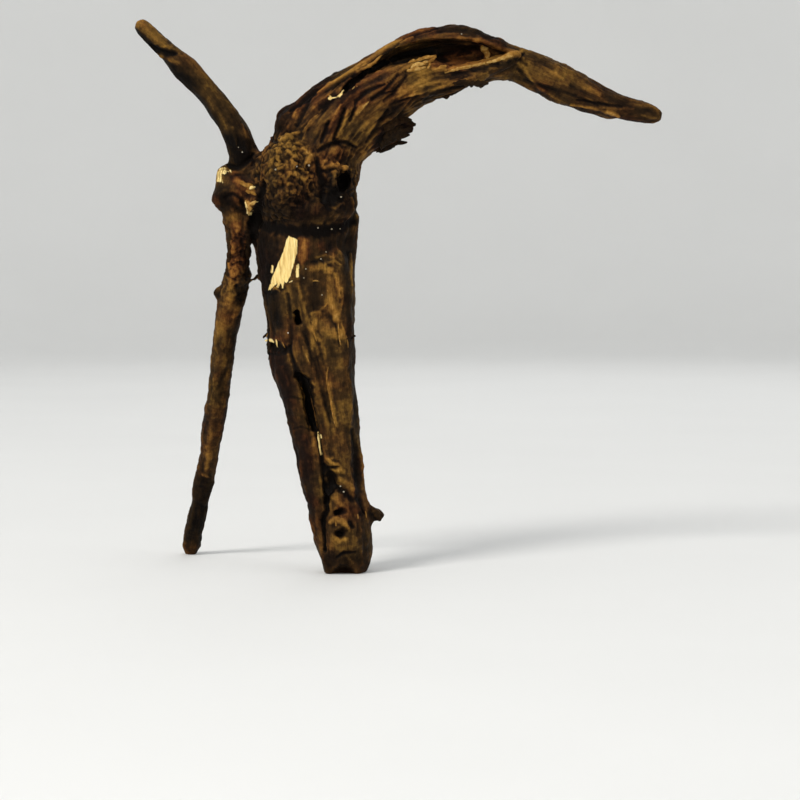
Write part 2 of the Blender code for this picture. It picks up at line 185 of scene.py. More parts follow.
# Marks on the front, each as: name, height in mm, change of tone, and the places along its middle as
# x and z in the front view and half width, in mm. Their heights are carved or worn into the wood. Their
# changes of tone are partly the wood's own colour and partly painted light: the darkening of grooves,
# creases, cracks, holes, gaps, pits and steps, and the marks named shade or shadow, are painted shade,
# and the marks named for light, such as upper_light, crown_light and top_light, and the glints are
# painted light.
CARVED_AND_PAINTED_LIGHT_MARKS = {
    "trunk": (
        ("seam", -1.1, -0.5, ((-9.1, 46.2, 0.9), (-7.8, 41.2, 0.6), (-6.9, 33.8, 0.7), (-5.3, 19.7, 0.7),
            (-6.6, 16.6, 0.7), (-5.9, 6.9, 0.4))),
        ("crack_head", -0.7, -0.6, ((-17.2, 71.2, 0.4), (-15.9, 66.9, 0.6), (-14.7, 62.5, 0.9),
            (-12.2, 60.3, 1))),
        ("crack", -1.2, -1.0, ((-14.1, 61.9, 1), (-11.6, 59.7, 1.4), (-10.9, 53.8, 1.4), (-10.3, 48.1, 1.1),
            (-9.7, 45, 0.5))),
        ("long_ridge", 0.4, 0.14, ((-14.4, 90.6, 0.5), (-12.2, 81.9, 0.6), (-9.4, 72.5, 0.6),
            (-5.6, 61.6, 0.5), (-4.1, 53.8, 0.5), (-2.2, 45.6, 0.3))),
        ("long_groove", -0.3, -0.14, ((-12.8, 75.6, 0.4), (-10.3, 68.8, 0.6), (-7.8, 60.6, 0.5),
            (-5.9, 53.1, 0.5), (-4.4, 47.5, 0.3))),
        ("middle_ridge", 0.35, 0.16, ((-9.7, 76.2, 0.6), (-6.9, 71.9, 0.7), (-4.4, 58.4, 0.7),
            (-2.5, 46.2, 0.4))),
        ("right_edge_shade", 0.0, -0.28, ((0.6, 100, 1), (1.2, 85, 1.2), (1.9, 69.4, 1.2), (2.8, 56.9, 0.9),
            (4.1, 44.4, 0.8))),
        ("right_edge_ridge", 0.5, 0.5, ((2, 100, 0.3), (1.9, 96.9, 0.45), (1.7, 93.4, 0.4),
            (2.2, 90, 0.3))),
        ("right_groove", -0.7, -0.45, ((2.5, 45, 0.4), (3.4, 38.1, 0.8), (4.1, 31.9, 1), (4.1, 24.1, 0.9),
            (6.2, 18.8, 0.4))),
        ("olive_strip", 0.2, 0.12, ((5, 41.2, 0.8), (5.6, 31.9, 1.1), (6.2, 23.1, 1), (7.2, 16.2, 0.7))),
        ("strand_ridge", 0.4, -0.04, ((-19.4, 64.4, 0.8), (-15.9, 53.1, 1.1), (-13.4, 43.8, 1.1),
            (-10.9, 34.4, 1), (-9.1, 25, 0.9), (-7.8, 14.7, 0.7))),
        ("strand_shade", 0.0, -0.3, ((-21.2, 68.8, 2.2), (-18.8, 57.5, 2.6), (-15, 44.4, 2.6),
            (-11.9, 31.9, 2.4), (-10, 19.4, 2.2))),
        ("strand_ring_a", -0.2, -0.2, ((-23.1, 68.8, 0.3), (-20, 68.4, 0.4), (-16.9, 69.4, 0.3))),
        ("strand_ring_b", -0.2, -0.2, ((-19.4, 55, 0.3), (-16.2, 55.3, 0.4), (-13.1, 54.4, 0.3))),
        ("strand_ring_c", -0.2, -0.16, ((-16.2, 45, 0.3), (-13.8, 45.9, 0.4), (-10.6, 45, 0.3))),
        ("upper_light", 0.0, 0.14, ((-6.9, 95.6, 3), (-3.1, 88.1, 2.6), (-3.1, 81.9, 3), (-4.4, 75, 3.4))),
        ("slit", -1.6, -0.8, ((-14.7, 81.6, 0.7), (-14.2, 78.8, 0.8))),
        ("strand_patch", 0.1, 0.14, ((-9.7, 41.9, 0.7), (-9.4, 33.1, 0.7))),
        ("upper_groove", -0.3, -0.18, ((-13.4, 85, 0.5), (-12.8, 78.8, 0.5), (-10.9, 70.9, 0.5),
            (-10, 64.7, 0.3))),
        ("left_groove", -0.5, -0.25, ((-17.5, 87.5, 0.5), (-16.6, 78.8, 0.7), (-16.6, 70.9, 0.5))),
        ("left_shade", -0.1, -0.46, ((-25, 105, 2.8), (-24.4, 96.9, 2.8), (-23.1, 87.5, 2.2),
            (-21.2, 78.8, 1.8))),
        ("orange_patch", 0.2, 0.3, ((-11.9, 102.8, 1.8), (-12.2, 100, 1.7), (-13.1, 97.8, 1))),
        ("torn_shadow", -0.9, -0.7, ((-23.8, 71.6, 0.7), (-21.6, 70.9, 1.2), (-18.8, 70.3, 1.1))),
        ("peel_shadow", -0.2, -0.4, ((-24.4, 87.8, 0.5), (-21.6, 88.1, 0.8), (-18.4, 89.4, 0.5))),
        ("peel_scrap", 0.3, 0.5, ((-22.2, 88.4, 0.4), (-21.2, 89.4, 0.5), (-20, 88.4, 0.3))),
        ("bright_mottle", 0.1, 0.12, ((-4.4, 84.4, 0.8), (-2.5, 81.2, 1), (-1.6, 76.9, 0.9),
            (-0.3, 73.1, 0.5))),
        ("light_edge", 0.2, 0.26, ((-0.9, 78.1, 0.3), (0, 74.7, 0.4), (0.9, 70.9, 0.3))),
        ("round_scar", -0.3, -0.26, ((-9.1, 89.4, 2.4), (-8.8, 86.2, 2.8), (-9.4, 84.1, 2))),
        ("scar_foot", 0.25, 0.26, ((-10.2, 81.2, 0.6), (-8.8, 81.6, 0.7), (-7.5, 81.9, 0.4))),
        ("round_scar_edge", 0.15, 0.14, ((-5.3, 90.3, 0.3), (-5, 86.9, 0.5), (-5.9, 83.8, 0.4),
            (-8.1, 81.9, 0.45), (-10.3, 81.6, 0.4))),
        ("scar_ring", -0.1, -0.1, ((-8.1, 78.8, 0.4), (-6.6, 80.6, 0.5), (-4.1, 80.3, 0.5),
            (-3.1, 78.1, 0.5), (-4.4, 76.2, 0.4))),
        ("scar_ring_light", 0.1, 0.1, ((-9.1, 78.1, 0.4), (-7.5, 81.2, 0.5), (-4.4, 81.9, 0.5),
            (-2.2, 80, 0.5))),
        ("shoulder_ripple_a", 0.2, 0.16, ((-4.4, 100.3, 0.3), (-2.5, 99.4, 0.45), (-0.9, 97.8, 0.35))),
        ("shoulder_ripple_b", 0.2, 0.15, ((-2.2, 101.2, 0.3), (-0.6, 99.4, 0.45), (0, 96.9, 0.35))),
        ("shoulder_ripple_c", 0.15, 0.14, ((-3.4, 96.9, 0.3), (-1.6, 95.6, 0.45), (-0.9, 93.1, 0.35))),
        ("right_line_a", 0.25, 0.22, ((-2.8, 93.8, 0.3), (-2.2, 90, 0.35), (-1.2, 86.2, 0.3))),
        ("right_line_b", 0.25, 0.22, ((-0.9, 89.4, 0.3), (-0.6, 85.6, 0.35), (-0.9, 82.5, 0.3))),
        ("pink_patch", 0.15, 0.16, ((-9.7, 95.6, 1), (-7.2, 95.9, 1.5), (-4.7, 95, 1.2))),
        ("mottle_low", 0.3, 0.28, ((-8.1, 78.1, 2.2), (-5.3, 75.6, 2.4), (-1.9, 75, 1.6))),
        ("mottle_high", 0.3, 0.26, ((-4.1, 85.9, 1), (-2.8, 83.1, 1.6), (-2.2, 79.7, 1))),
        ("mottle_wave", -0.08, -0.1, ((-9.7, 81.2, 0.5), (-7.5, 82.2, 0.6), (-5, 81.2, 0.6),
            (-3.4, 77.5, 0.6), (-1.2, 76.9, 0.4))),
        ("mottle_fold", -0.08, -0.1, ((-8.1, 71.6, 0.4), (-5.3, 73.1, 0.6), (-2.5, 72.2, 0.6),
            (0, 73.1, 0.4))),
        ("short_dark_line", -0.3, -0.25, ((-2.8, 78.1, 0.3), (-1.9, 74.4, 0.4), (-1.6, 71.2, 0.3))),
        ("light_mottles", 0.3, 0.24, ((-9.7, 95, 0.9), (-7.2, 95.9, 1.3), (-4.7, 94.7, 1))),
        ("wrinkle_a", 0.3, 0.2, ((-8.8, 98.8, 0.4), (-5.9, 99.7, 0.5), (-3.1, 98.8, 0.4))),
        ("wrinkle_b", 0.3, 0.22, ((-5.6, 96.9, 0.4), (-3.1, 97.8, 0.5), (-1.2, 96.6, 0.4))),
        ("wrinkle_groove", -0.25, -0.18, ((-10, 97.5, 0.4), (-6.9, 97.8, 0.5), (-4.1, 96.2, 0.4))),
        ("right_fibre", 0.2, 0.2, ((-2.2, 95, 0.4), (-1.6, 90, 0.5), (-1.9, 85, 0.4))),
        ("shoulder_shade", -0.1, -0.32, ((-4.4, 104.4, 3.2), (0, 103.8, 3.2), (1.9, 100, 1.8))),
        ("small_ridge", 0.3, 0.14, ((-12.8, 70.9, 0.5), (-11.9, 68.8, 0.6), (-10.9, 65.6, 0.4))),
        ("low_ridge", 0.0, 0.06, ((-1.9, 57.5, 0.4), (-0.9, 52.2, 0.8), (0, 45.9, 1), (0.9, 38.1, 0.8),
            (1.6, 30.6, 0.3))),
        ("low_light", 0.0, 0.08, ((-2.5, 60, 1.8), (-3.1, 50.6, 2.4), (-3.1, 41.2, 2.6))),
        ("low_edge", 0.3, 0.14, ((0.6, 23.1, 0.6), (0.9, 17.5, 0.8), (1.6, 13.1, 0.5))),
        ("low_fleck_a", 0.4, 0.26, ((-5.2, 35.8, 0.4), (-4.2, 34.4, 0.6), (-2.8, 33.9, 0.4))),
        ("low_fleck_b", 0.4, 0.24, ((-3.8, 32.5, 0.4), (-2.5, 31.9, 0.6), (-1.2, 32.3, 0.4))),
        ("low_pit_a", -0.5, -0.35, ((-5, 33.1, 0.4), (-3.4, 33.2, 0.5), (-1.9, 33.4, 0.4))),
        ("low_pit_b", -0.4, -0.3, ((-3.4, 35.3, 0.4), (-1.9, 35, 0.4))),
    ),
    "foot": (
        ("hollow_left", -1.0, -0.52, ((-6.2, 33.8, 0.7), (-4.1, 30, 1.5), (-4.7, 26.2, 1.7),
            (-5.6, 22.5, 0.9))),
        ("hollow_right", -0.8, -0.4, ((-2.2, 26.9, 0.8), (0.6, 24.7, 0.9), (2.5, 22.5, 0.6))),
        ("lobe_high", 0.7, 0.16, ((-5.3, 36.2, 0.7), (-2.8, 34.4, 1.2), (-0.9, 31.6, 0.8))),
        ("lobe_right", 0.7, 0.18, ((-1.2, 29.4, 0.8), (0.9, 28.1, 1.2), (2.5, 26.2, 0.8))),
        ("lobe_middle", 0.5, 0.16, ((-3.8, 23.8, 0.9), (-1.6, 22.5, 1.2), (0, 20, 0.8))),
        ("hole_rim", 0.6, 0.26, ((-4.4, 15.6, 0.6), (-3.1, 16.9, 0.8), (-0.6, 15.9, 0.9),
            (0.9, 14.1, 0.6))),
        ("hole_rim_low", 0.3, 0.2, ((-3.4, 11.2, 0.4), (-1.6, 9.7, 0.6), (0.6, 10.6, 0.4))),
        ("upper_hole", -1.0, -0.45, ((-2.3, 18.8, 1), (-0.8, 19.5, 1.1))),
        ("lower_hole", -1.0, -0.45, ((-1.9, 12.5, 1), (-0.3, 12.8, 1.1))),
        ("foot_nub_shade", 0.0, -0.46, ((7.8, 18.4, 1.2), (10.6, 17.5, 1.6))),
        ("side_hole", -0.6, -0.35, ((1.6, 15.6, 0.6), (2.5, 14.4, 0.6))),
        ("cross_crack", -0.5, -0.5, ((-2.3, 4.8, 0.35), (-0.2, 6.1, 0.45), (3.3, 6.4, 0.35))),
        ("foot_light", 0.0, 0.14, ((-3.1, 10, 2), (0, 8.1, 2.4), (2.5, 11.2, 2))),
        ("lobe_shade", -0.2, -0.2, ((4.1, 12.5, 1.2), (5.9, 9.7, 1.7), (6.9, 7.2, 1.3))),
        ("cross_light", 0.2, 0.2, ((0.9, 5, 0.5), (2.5, 3.1, 0.5))),
        ("left_groove", -0.2, -0.14, ((-5.3, 15.6, 0.5), (-5, 10, 0.5), (-4.7, 5, 0.3))),
        ("right_groove", -0.2, -0.16, ((5, 18.8, 0.6), (5.9, 13.1, 0.7), (6.2, 7.5, 0.5))),
        ("foot_shade", 0.0, -0.2, ((-6.2, 1.9, 3), (-0.6, 3.1, 4), (5.6, 1.9, 3))),
    ),
    "burl": (
        # Painted shadow: the dark band under the burl's overhang.
        ("crease_shadow", -0.6, -0.8, ((-28.8, 109.7, 1.2), (-23.1, 108.4, 1.5), (-16.9, 107.2, 1.6),
            (-7.5, 106.9, 1.7), (-1.2, 108.1, 1.5), (3.4, 110.3, 1))),
        ("neck_gap", -1.8, -0.8, ((-25.3, 121.9, 0.7), (-26.6, 117.5, 1.1), (-27.2, 112.5, 1.6),
            (-28.4, 108.1, 1.5), (-28.8, 102.5, 1))),
        ("middle_split", -0.8, -0.35, ((-8.4, 129.4, 0.7), (-7.5, 125, 1), (-6.6, 120.6, 1),
            (-6.9, 116.2, 0.7))),
        ("crown_ridge", 0.7, 0.22, ((-19.1, 135.6, 0.5), (-16.2, 137.2, 0.6), (-14.1, 137.8, 0.5))),
        ("crown_light", 0.0, 0.2, ((-19.7, 133.1, 3), (-16.2, 133.1, 4), (-12.8, 131.9, 3.6),
            (-11.9, 127.5, 3), (-17.5, 126.2, 3.4), (-21.2, 128.1, 2.4))),
        ("gold_patch", 0.2, 0.22, ((-11.2, 132.5, 1.2), (-10, 129.4, 1.3), (-11.9, 127.5, 0.9))),
        ("gold_arc", 0.3, 0.26, ((-15, 125, 0.6), (-12.5, 123.1, 0.8), (-9.7, 124.4, 0.7))),
        ("crown_flake_a", 0.4, 0.26, ((-17.5, 131.9, 0.5), (-15.6, 130.6, 0.8), (-16.2, 128.8, 0.5))),
        ("crown_flake_b", 0.35, 0.22, ((-12.5, 132.5, 0.6), (-10.6, 130.9, 0.8), (-10.9, 128.8, 0.6))),
        ("right_step_a", 0.5, 0.22, ((-6.2, 126.9, 0.4), (-3.4, 127.8, 0.5), (0.3, 127.2, 0.4))),
        ("right_step_b", -0.4, -0.25, ((-6.9, 125.6, 0.4), (-3.8, 126.2, 0.5), (0, 125.9, 0.3))),
        ("right_light", 0.3, 0.22, ((-6.9, 128.8, 1.4), (-3.8, 127.5, 1.8), (-0.6, 126.9, 1.4))),
        ("right_shade", -0.3, -0.4, ((-5.6, 121.9, 2.6), (-3.4, 117.5, 3), (0, 114.4, 2.6))),
        ("low_shade", 0.0, -0.32, ((-25.6, 114.7, 3), (-18.8, 113.1, 4), (-11.2, 113.1, 4),
            (-6.2, 113.8, 3))),
        ("eye", -1.0, -0.6, ((1.2, 125.3, 0.8), (0, 123.1, 1.6), (-0.6, 120, 1.4))),
        # Painted light: the lit upper edge of the hole.
        ("lit_eye_rim", 0.3, 0.16, ((-5.3, 124.7, 0.4), (-2.5, 125.6, 0.5), (0.3, 126.6, 0.5),
            (2.2, 126.2, 0.4))),
        ("eye_shade", -0.3, -0.5, ((2.2, 123.1, 1.2), (0.3, 119.4, 2.2), (-3.1, 118.8, 2.2),
            (-5, 115.6, 1.6))),
        ("lip", 0.5, 0.32, ((-4.7, 114.7, 0.4), (-2.8, 114.1, 0.5), (-0.9, 115.6, 0.4))),
        ("side_slit", -0.8, -0.4, ((3.1, 118.8, 0.4), (3.8, 115.6, 0.5), (4.1, 112.8, 0.3))),
    ),
    "knot": (
        ("neck_light", 0.1, 0.08, ((-35.6, 123.1, 1.8), (-31.2, 125, 1.8), (-27.5, 128.8, 1.6),
            (-24.4, 131.9, 1.2))),
        ("golden_patch", 0.4, 0.34, ((-33.1, 122.8, 1), (-30.9, 121.2, 1.4), (-28.8, 120, 1.2))),
        ("golden_fleck_a", 0.3, 0.3, ((-31.6, 122.2, 0.4), (-30.6, 121.6, 0.4))),
        ("golden_fleck_b", 0.3, 0.3, ((-29.1, 120.6, 0.4), (-28.1, 119.7, 0.5))),
        ("patch_shade", -0.1, -0.12, ((-32.5, 120, 0.4), (-30.9, 118.8, 0.5), (-29.4, 117.7, 0.5))),
        ("tooth", 0.6, 0.5, ((-30.3, 115.9, 0.9), (-29.1, 115, 1.1), (-30, 113.1, 0.6))),
        ("lump_shade", -0.2, -0.44, ((-38.1, 119.4, 2), (-35.6, 115.3, 2.4), (-32.5, 114.4, 1.8))),
        ("lump_gap", -0.6, -0.35, ((-36.9, 117.5, 0.5), (-34.7, 118.8, 0.6), (-32.2, 117.2, 0.6),
            (-31.2, 115, 0.4))),
        ("lump_light_a", 0.4, 0.2, ((-35.3, 114.7, 0.4), (-34.7, 113.8, 0.5))),
        ("lump_light_b", 0.4, 0.2, ((-33.1, 115.6, 0.35), (-31.9, 114.4, 0.45))),
        ("lump_light_c", 0.3, 0.16, ((-38.8, 118.8, 0.4), (-36.9, 120, 0.5))),
        ("bud_light", 0.4, -0.14, ((-40, 117.5, 1.2), (-39.4, 115.3, 1))),
        ("break_gold", 0.0, 0.3, ((-38.3, 125.6, 0.9), (-38.8, 124.4, 1), (-38.7, 123, 1))),
        ("collar", 0.6, 0.14, ((-36.6, 126.2, 0.5), (-34.4, 125, 0.6), (-31.6, 125.6, 0.6),
            (-28.8, 128.1, 0.5))),
        ("collar_groove", -0.7, -0.35, ((-35.9, 127.8, 0.6), (-33.1, 126.9, 0.7), (-30, 128.8, 0.6),
            (-28.1, 131.2, 0.4))),
        ("branch_base_shade", 0.0, -0.65, ((-35, 136.2, 2), (-32.5, 132.5, 3.2), (-30.6, 129.4, 2.8))),
        ("base_dash", 0.2, 0.4, ((-31.9, 132.5, 0.2), (-31.6, 130.9, 0.25))),
    ),
    "arch": (
        ("bark_band", 0.3, -0.3, ((-21.9, 135, 1.3), (-19.1, 143.8, 1.6), (-6.9, 153.1, 1.2),
            (1.9, 159.7, 1.1), (10, 165.6, 1.1), (16.2, 168.1, 1), (23.8, 170, 1.2), (33.8, 170.9, 1.2),
            (43.8, 168.4, 1.2), (49.4, 165, 0.9))),
        ("upper_ridge", 0.7, 0.36, ((-8.1, 150, 0.3), (-4.1, 152.8, 0.5), (2.8, 156.9, 0.6),
            (9.4, 161.2, 0.6), (13.8, 164.1, 0.5), (21.6, 166.9, 0.3))),
        ("ridge_shade", -0.3, -0.25, ((-5.6, 150.6, 0.4), (0.6, 154.4, 0.5), (6.9, 158.1, 0.4))),
        ("second_ridge", 0.5, 0.44, ((4.1, 156.6, 0.4), (7.2, 158.1, 0.6), (9.4, 159.1, 0.6),
            (11.6, 161.6, 0.4))),
        ("slit", -1.8, -0.9, ((-0.3, 150.3, 0.5), (1.9, 152.5, 1.1), (3.8, 154.1, 1.2), (5.9, 155.9, 0.8))),
        ("slit_tail", -0.8, -0.4, ((5.6, 155.6, 0.6), (9.4, 157.5, 0.8), (13.1, 159.4, 0.8))),
        ("gold_field", 0.1, 0.42, ((18.1, 152.5, 2), (20.3, 150, 3.2), (22.5, 153.1, 2.8),
            (25.6, 155.3, 1.8))),
        ("gold_low", 0.3, 0.2, ((16.2, 147.8, 1.4), (13.8, 145.6, 1.3))),
        ("rim_streak_a", 0.4, 0.2, ((23.8, 151.9, 0.4), (28.1, 153.1, 0.6), (32.5, 154.1, 0.4))),
        ("rim_streak_b", 0.35, 0.16, ((20.6, 148.8, 0.4), (26.2, 150.6, 0.5), (33.8, 152.5, 0.5),
            (40.6, 155, 0.3))),
        ("facet", 0.25, 0.16, ((12.2, 145.6, 1), (8.8, 141.6, 1.7), (5, 136.9, 1.5), (3.1, 134.4, 0.8))),
        ("facet_groove", -0.6, -0.3, ((13.8, 144.4, 0.5), (10.6, 140, 0.6), (6.9, 135, 0.5))),
        ("pale_chips", 0.5, 0.36, ((4.1, 143.8, 0.6), (5.3, 145.3, 0.8), (6.9, 146.6, 0.5))),
        ("dark_patch", -0.2, -0.26, ((13.1, 145, 1.6), (15.3, 144.1, 1.9), (17.8, 144.7, 1.2))),
        ("under_shade", -0.2, -0.26, ((10, 136.2, 1.6), (13.1, 139.4, 2), (16.9, 141.9, 2.2))),
        ("under_fibre_a", 0.5, 0.26, ((7.5, 133.1, 0.4), (10.3, 136.2, 0.6), (14.1, 139.1, 0.5),
            (16.9, 140.6, 0.3))),
        ("under_fibre_b", 0.4, 0.2, ((5.6, 131.9, 0.4), (8.1, 135.3, 0.5), (11.2, 138.4, 0.4))),
        ("left_streak_a", 0.4, 0.24, ((-15.6, 142.5, 0.4), (-14.1, 146.2, 0.6), (-12.8, 148.8, 0.4))),
        ("left_streak_b", 0.4, 0.26, ((-12.8, 138.1, 0.4), (-10.6, 140, 0.6), (-8.1, 142.8, 0.6),
            (-6.9, 145, 0.3))),
        ("left_groove_a", -0.6, -0.3, ((-14.7, 140, 0.5), (-12.5, 144.4, 0.6), (-10.6, 148.1, 0.5))),
        ("left_groove_b", -0.7, -0.35, ((-6.9, 135, 0.5), (-5.9, 137.8, 0.6), (-4.7, 141.2, 0.4))),
        ("left_shade", 0.0, -0.16, ((-18.8, 138.8, 2.4), (-16.2, 144.4, 2.6), (-10.6, 148.8, 2))),
        ("middle_ridge_a", 0.5, 0.24, ((-1.9, 136.2, 0.5), (0, 140.6, 0.6), (1.2, 144.4, 0.5))),
        ("middle_ridge_b", 0.5, 0.2, ((-4.4, 139.4, 0.5), (-2.8, 142.5, 0.6), (-0.9, 146.2, 0.4))),
        ("middle_groove_a", -0.7, -0.3, ((-3.1, 135.6, 0.5), (-1.2, 140, 0.6), (0.3, 145, 0.5))),
        ("middle_groove_b", -0.6, -0.3, ((1.9, 141.2, 0.4), (4.1, 147.5, 0.6), (7.5, 150.6, 0.5),
            (12.5, 152.5, 0.4))),
        ("middle_shade", -0.1, -0.3, ((-6.9, 145.6, 1.8), (-1.9, 147.5, 2), (2.5, 150, 1.6))),
        ("field_groove_a", -0.5, -0.28, ((8.8, 148.1, 0.4), (12.5, 150.6, 0.6), (16.9, 155.6, 0.5))),
        ("field_groove_b", -0.5, -0.25, ((12.5, 147.5, 0.4), (15.6, 150, 0.5), (19.4, 155, 0.4))),
        ("field_groove_c", -0.5, -0.25, ((25, 147.5, 0.4), (29.4, 150.3, 0.6), (35.6, 151.6, 0.5),
            (41.9, 153.4, 0.4))),
        ("low_edge_shade", -0.1, -0.24, ((21.2, 146.2, 1), (27.5, 148.4, 1.4), (35, 150.6, 1.3),
            (41.9, 152.5, 1))),
        ("crown_lobe_a", 0.5, 0.16, ((-4.4, 131.9, 0.8), (-0.9, 132.5, 1.1), (2.5, 131.2, 0.8))),
        ("crown_groove", -0.7, -0.35, ((-8.1, 131.9, 0.5), (-4.4, 134.1, 0.7), (0.3, 134.7, 0.6),
            (3.8, 133.1, 0.4))),
        ("hollow_shade", 0.0, -0.45, ((12.5, 158.8, 1.4), (17.5, 161.2, 2), (25.3, 163.1, 2.4),
            (33.1, 164.7, 1.8), (40.6, 164.4, 1.4))),
        ("inner_wall", 0.0, 0.1, ((33.8, 160, 1.2), (36.9, 160.9, 1.6), (41.2, 161.9, 1.2))),
        ("tooth_shade", 0.0, -0.4, ((16.2, 160.6, 1.2), (20.6, 161.6, 1.4), (25.6, 162.5, 1.4),
            (30, 160.9, 1.2), (31.2, 159.7, 0.9))),
        ("roof_mottle", 0.3, 0.2, ((36.2, 166.9, 0.9), (38.8, 165.6, 1.1), (41.6, 166.6, 0.9))),
        ("tip_groove", -0.5, -0.4, ((47.8, 158.1, 0.5), (51.9, 159.7, 0.6), (55.6, 161.6, 0.4))),
        ("rim_groove", -0.3, -0.3, ((33.8, 155.6, 0.4), (38.8, 156.7, 0.5), (43.8, 157.7, 0.5),
            (48.1, 158.9, 0.4))),
        ("hollow_chip", 0.4, 0.5, ((43.4, 163.8, 0.6), (44.4, 162.2, 0.8), (44.1, 160.9, 0.5))),
        ("rim_tooth", 0.4, 0.2, ((20, 157.2, 0.7), (22.5, 158.1, 1.2), (25.3, 159.1, 0.8))),
        ("rim_step", 0.3, 0.4, ((28.1, 157.2, 0.6), (31.2, 157.5, 0.7))),
        ("rim_line", 0.3, 0.4, ((31.6, 156.9, 0.5), (37.8, 158.4, 0.6), (44.1, 159.4, 0.6),
            (49.4, 160.6, 0.6), (55, 162.5, 0.5))),
        ("flap_shade", 0.0, -0.5, ((10.6, 134.4, 1.8), (15, 136.6, 2.8), (20, 138.8, 3))),
        ("under_lump", 0.3, -0.2, ((39.4, 153.4, 1.1), (42.5, 152.5, 1.3), (45, 153.8, 0.8))),
    ),
    "right_branch": (
        ("root_end_light", 0.0, 0.12, ((53.8, 159.4, 1.6), (58.8, 156.2, 2.4), (65, 153.8, 2.2))),
        ("beak_shade", 0.0, -0.3, ((48.8, 157.5, 0.8), (52.5, 159.4, 0.9), (55.6, 160.9, 0.7))),
        ("top_light", 0.0, 0.14, ((55.6, 162.5, 0.9), (62.8, 159.4, 1.1), (71.2, 155, 1))),
        ("light_streak_a", 0.3, 0.24, ((52.5, 160, 0.4), (55.6, 158.1, 0.6), (58.8, 153.8, 0.5),
            (62.5, 151.2, 0.3))),
        ("light_streak_b", 0.3, 0.24, ((54.4, 160.9, 0.5), (59.4, 158.1, 0.7), (65, 155.6, 0.8),
            (69.4, 152.5, 0.6))),
        ("light_streak_c", 0.2, 0.16, ((66.2, 156.2, 0.6), (73.1, 152.5, 0.8), (79.4, 149.4, 0.5))),
        ("dark_groove", -0.25, -0.2, ((56.2, 154.4, 0.4), (63.8, 151.9, 0.5), (71.2, 149.4, 0.5),
            (78.8, 146.2, 0.3))),
        ("dark_streak_a", -0.25, -0.22, ((53.8, 157.5, 0.4), (56.9, 155, 0.6), (61.2, 150, 0.5))),
        ("dark_streak_b", -0.25, -0.2, ((56.2, 160, 0.4), (61.9, 156.9, 0.5), (67.5, 153.8, 0.4))),
        ("pale_ridge", 0.5, 0.4, ((70.6, 146.6, 0.3), (76.9, 145.6, 0.4), (81.2, 144.4, 0.5),
            (85.6, 143.1, 0.3))),
        ("pale_flake", 0.2, 0.4, ((82.2, 144.4, 0.6), (84.1, 143.8, 0.9), (85.3, 143.1, 0.5))),
        ("ridge_groove", -0.4, -0.3, ((72.5, 147.8, 0.3), (78.1, 146.9, 0.4), (86.2, 145.6, 0.4))),
        ("low_shade", 0.0, -0.24, ((55, 152.5, 1), (61.9, 148.1, 1.4), (69.4, 145.6, 1.4),
            (77.5, 143.1, 1.2))),
        ("middle_shade", 0.0, -0.12, ((71.2, 151.9, 2), (76.9, 149.4, 2.2), (81.9, 147.5, 1.8))),
        ("tip_shade", 0.0, -0.14, ((85.6, 145.6, 2), (91.9, 144.4, 2.4), (97.5, 143.4, 2))),
        ("tip_streak", 0.25, 0.16, ((80, 145.6, 0.4), (85, 145.3, 0.5), (90, 145, 0.3))),
        ("end_streak", 0.25, 0.2, ((92.8, 143.1, 0.3), (95, 142.5, 0.5), (97.2, 142.2, 0.3))),
    ),
    "left_branch": (
        ("tip_light", 0.2, 0.4, ((-63.4, 171.9, 1.2), (-60.9, 170, 1.7), (-58.1, 167.2, 1.5),
            (-55.6, 165, 1))),
        ("cut_edge", -0.4, -0.8, ((-64.4, 168.8, 0.9), (-61.9, 165.6, 1.3), (-58.8, 162.8, 1.2))),
        ("tip_facet", 0.2, 0.14, ((-60, 165, 0.5), (-56.9, 164.1, 0.7), (-53.8, 163.8, 0.5))),
        ("step", -0.9, -0.8, ((-60, 164.7, 0.5), (-56.9, 163.1, 0.9), (-54.4, 162.2, 0.9),
            (-52.2, 161.9, 0.5))),
        ("upper_light", 0.2, 0.22, ((-53.8, 164.1, 0.8), (-50.3, 161.9, 1), (-45.3, 157.5, 1.2),
            (-40.6, 151.2, 1.2), (-35.6, 144.4, 1))),
        ("lower_shade", -0.2, -0.46, ((-56.2, 160, 1), (-52.5, 156.6, 1.8), (-48.1, 152.5, 1.9),
            (-44.4, 146.9, 1.6), (-40.6, 140.6, 1.4))),
        ("centre_light", 0.1, 0.1, ((-41.9, 148.1, 0.9), (-38.1, 141.9, 1), (-35, 135.6, 0.8))),
        ("glint_streak", 0.3, 0.26, ((-58.1, 162.2, 0.4), (-56.2, 161.2, 0.5))),
        ("glint_patch", 0.2, 0.2, ((-53.8, 160, 0.6), (-51.2, 159.1, 0.6))),
        ("base_streak_a", 0.3, 0.18, ((-34.7, 139.4, 0.4), (-33.8, 136.2, 0.5), (-33.1, 133.1, 0.3))),
        ("base_streak_b", 0.3, 0.16, ((-31.9, 140, 0.3), (-31.2, 138.1, 0.4), (-30.6, 136.2, 0.3))),
    ),
    "leg": (
        ("right_shade", 0.0, -0.24, ((-29.4, 111.6, 1.2), (-29.7, 100.6, 1.5), (-31.2, 88.1, 1.6),
            (-33.1, 78.8, 1.5), (-35, 69.4, 1.2))),
        ("upper_light", 0.1, 0.22, ((-33.8, 111.9, 1.4), (-33.1, 105, 1.8), (-34.1, 96.9, 1.8),
            (-36.2, 85, 1.4))),
        ("gold_stretch", 0.1, 0.14, ((-35.6, 89.4, 1.5), (-36.9, 81.2, 1.7), (-38.4, 72.5, 1.5))),
        ("leg_nub_shade", 0.1, -0.4, ((-40.9, 88.1, 1.2), (-39.4, 87.2, 0.8))),
        ("middle_shade", 0.0, -0.1, ((-39.4, 62.5, 2.4), (-41.2, 49.1, 2.6), (-43.1, 35, 2.4))),
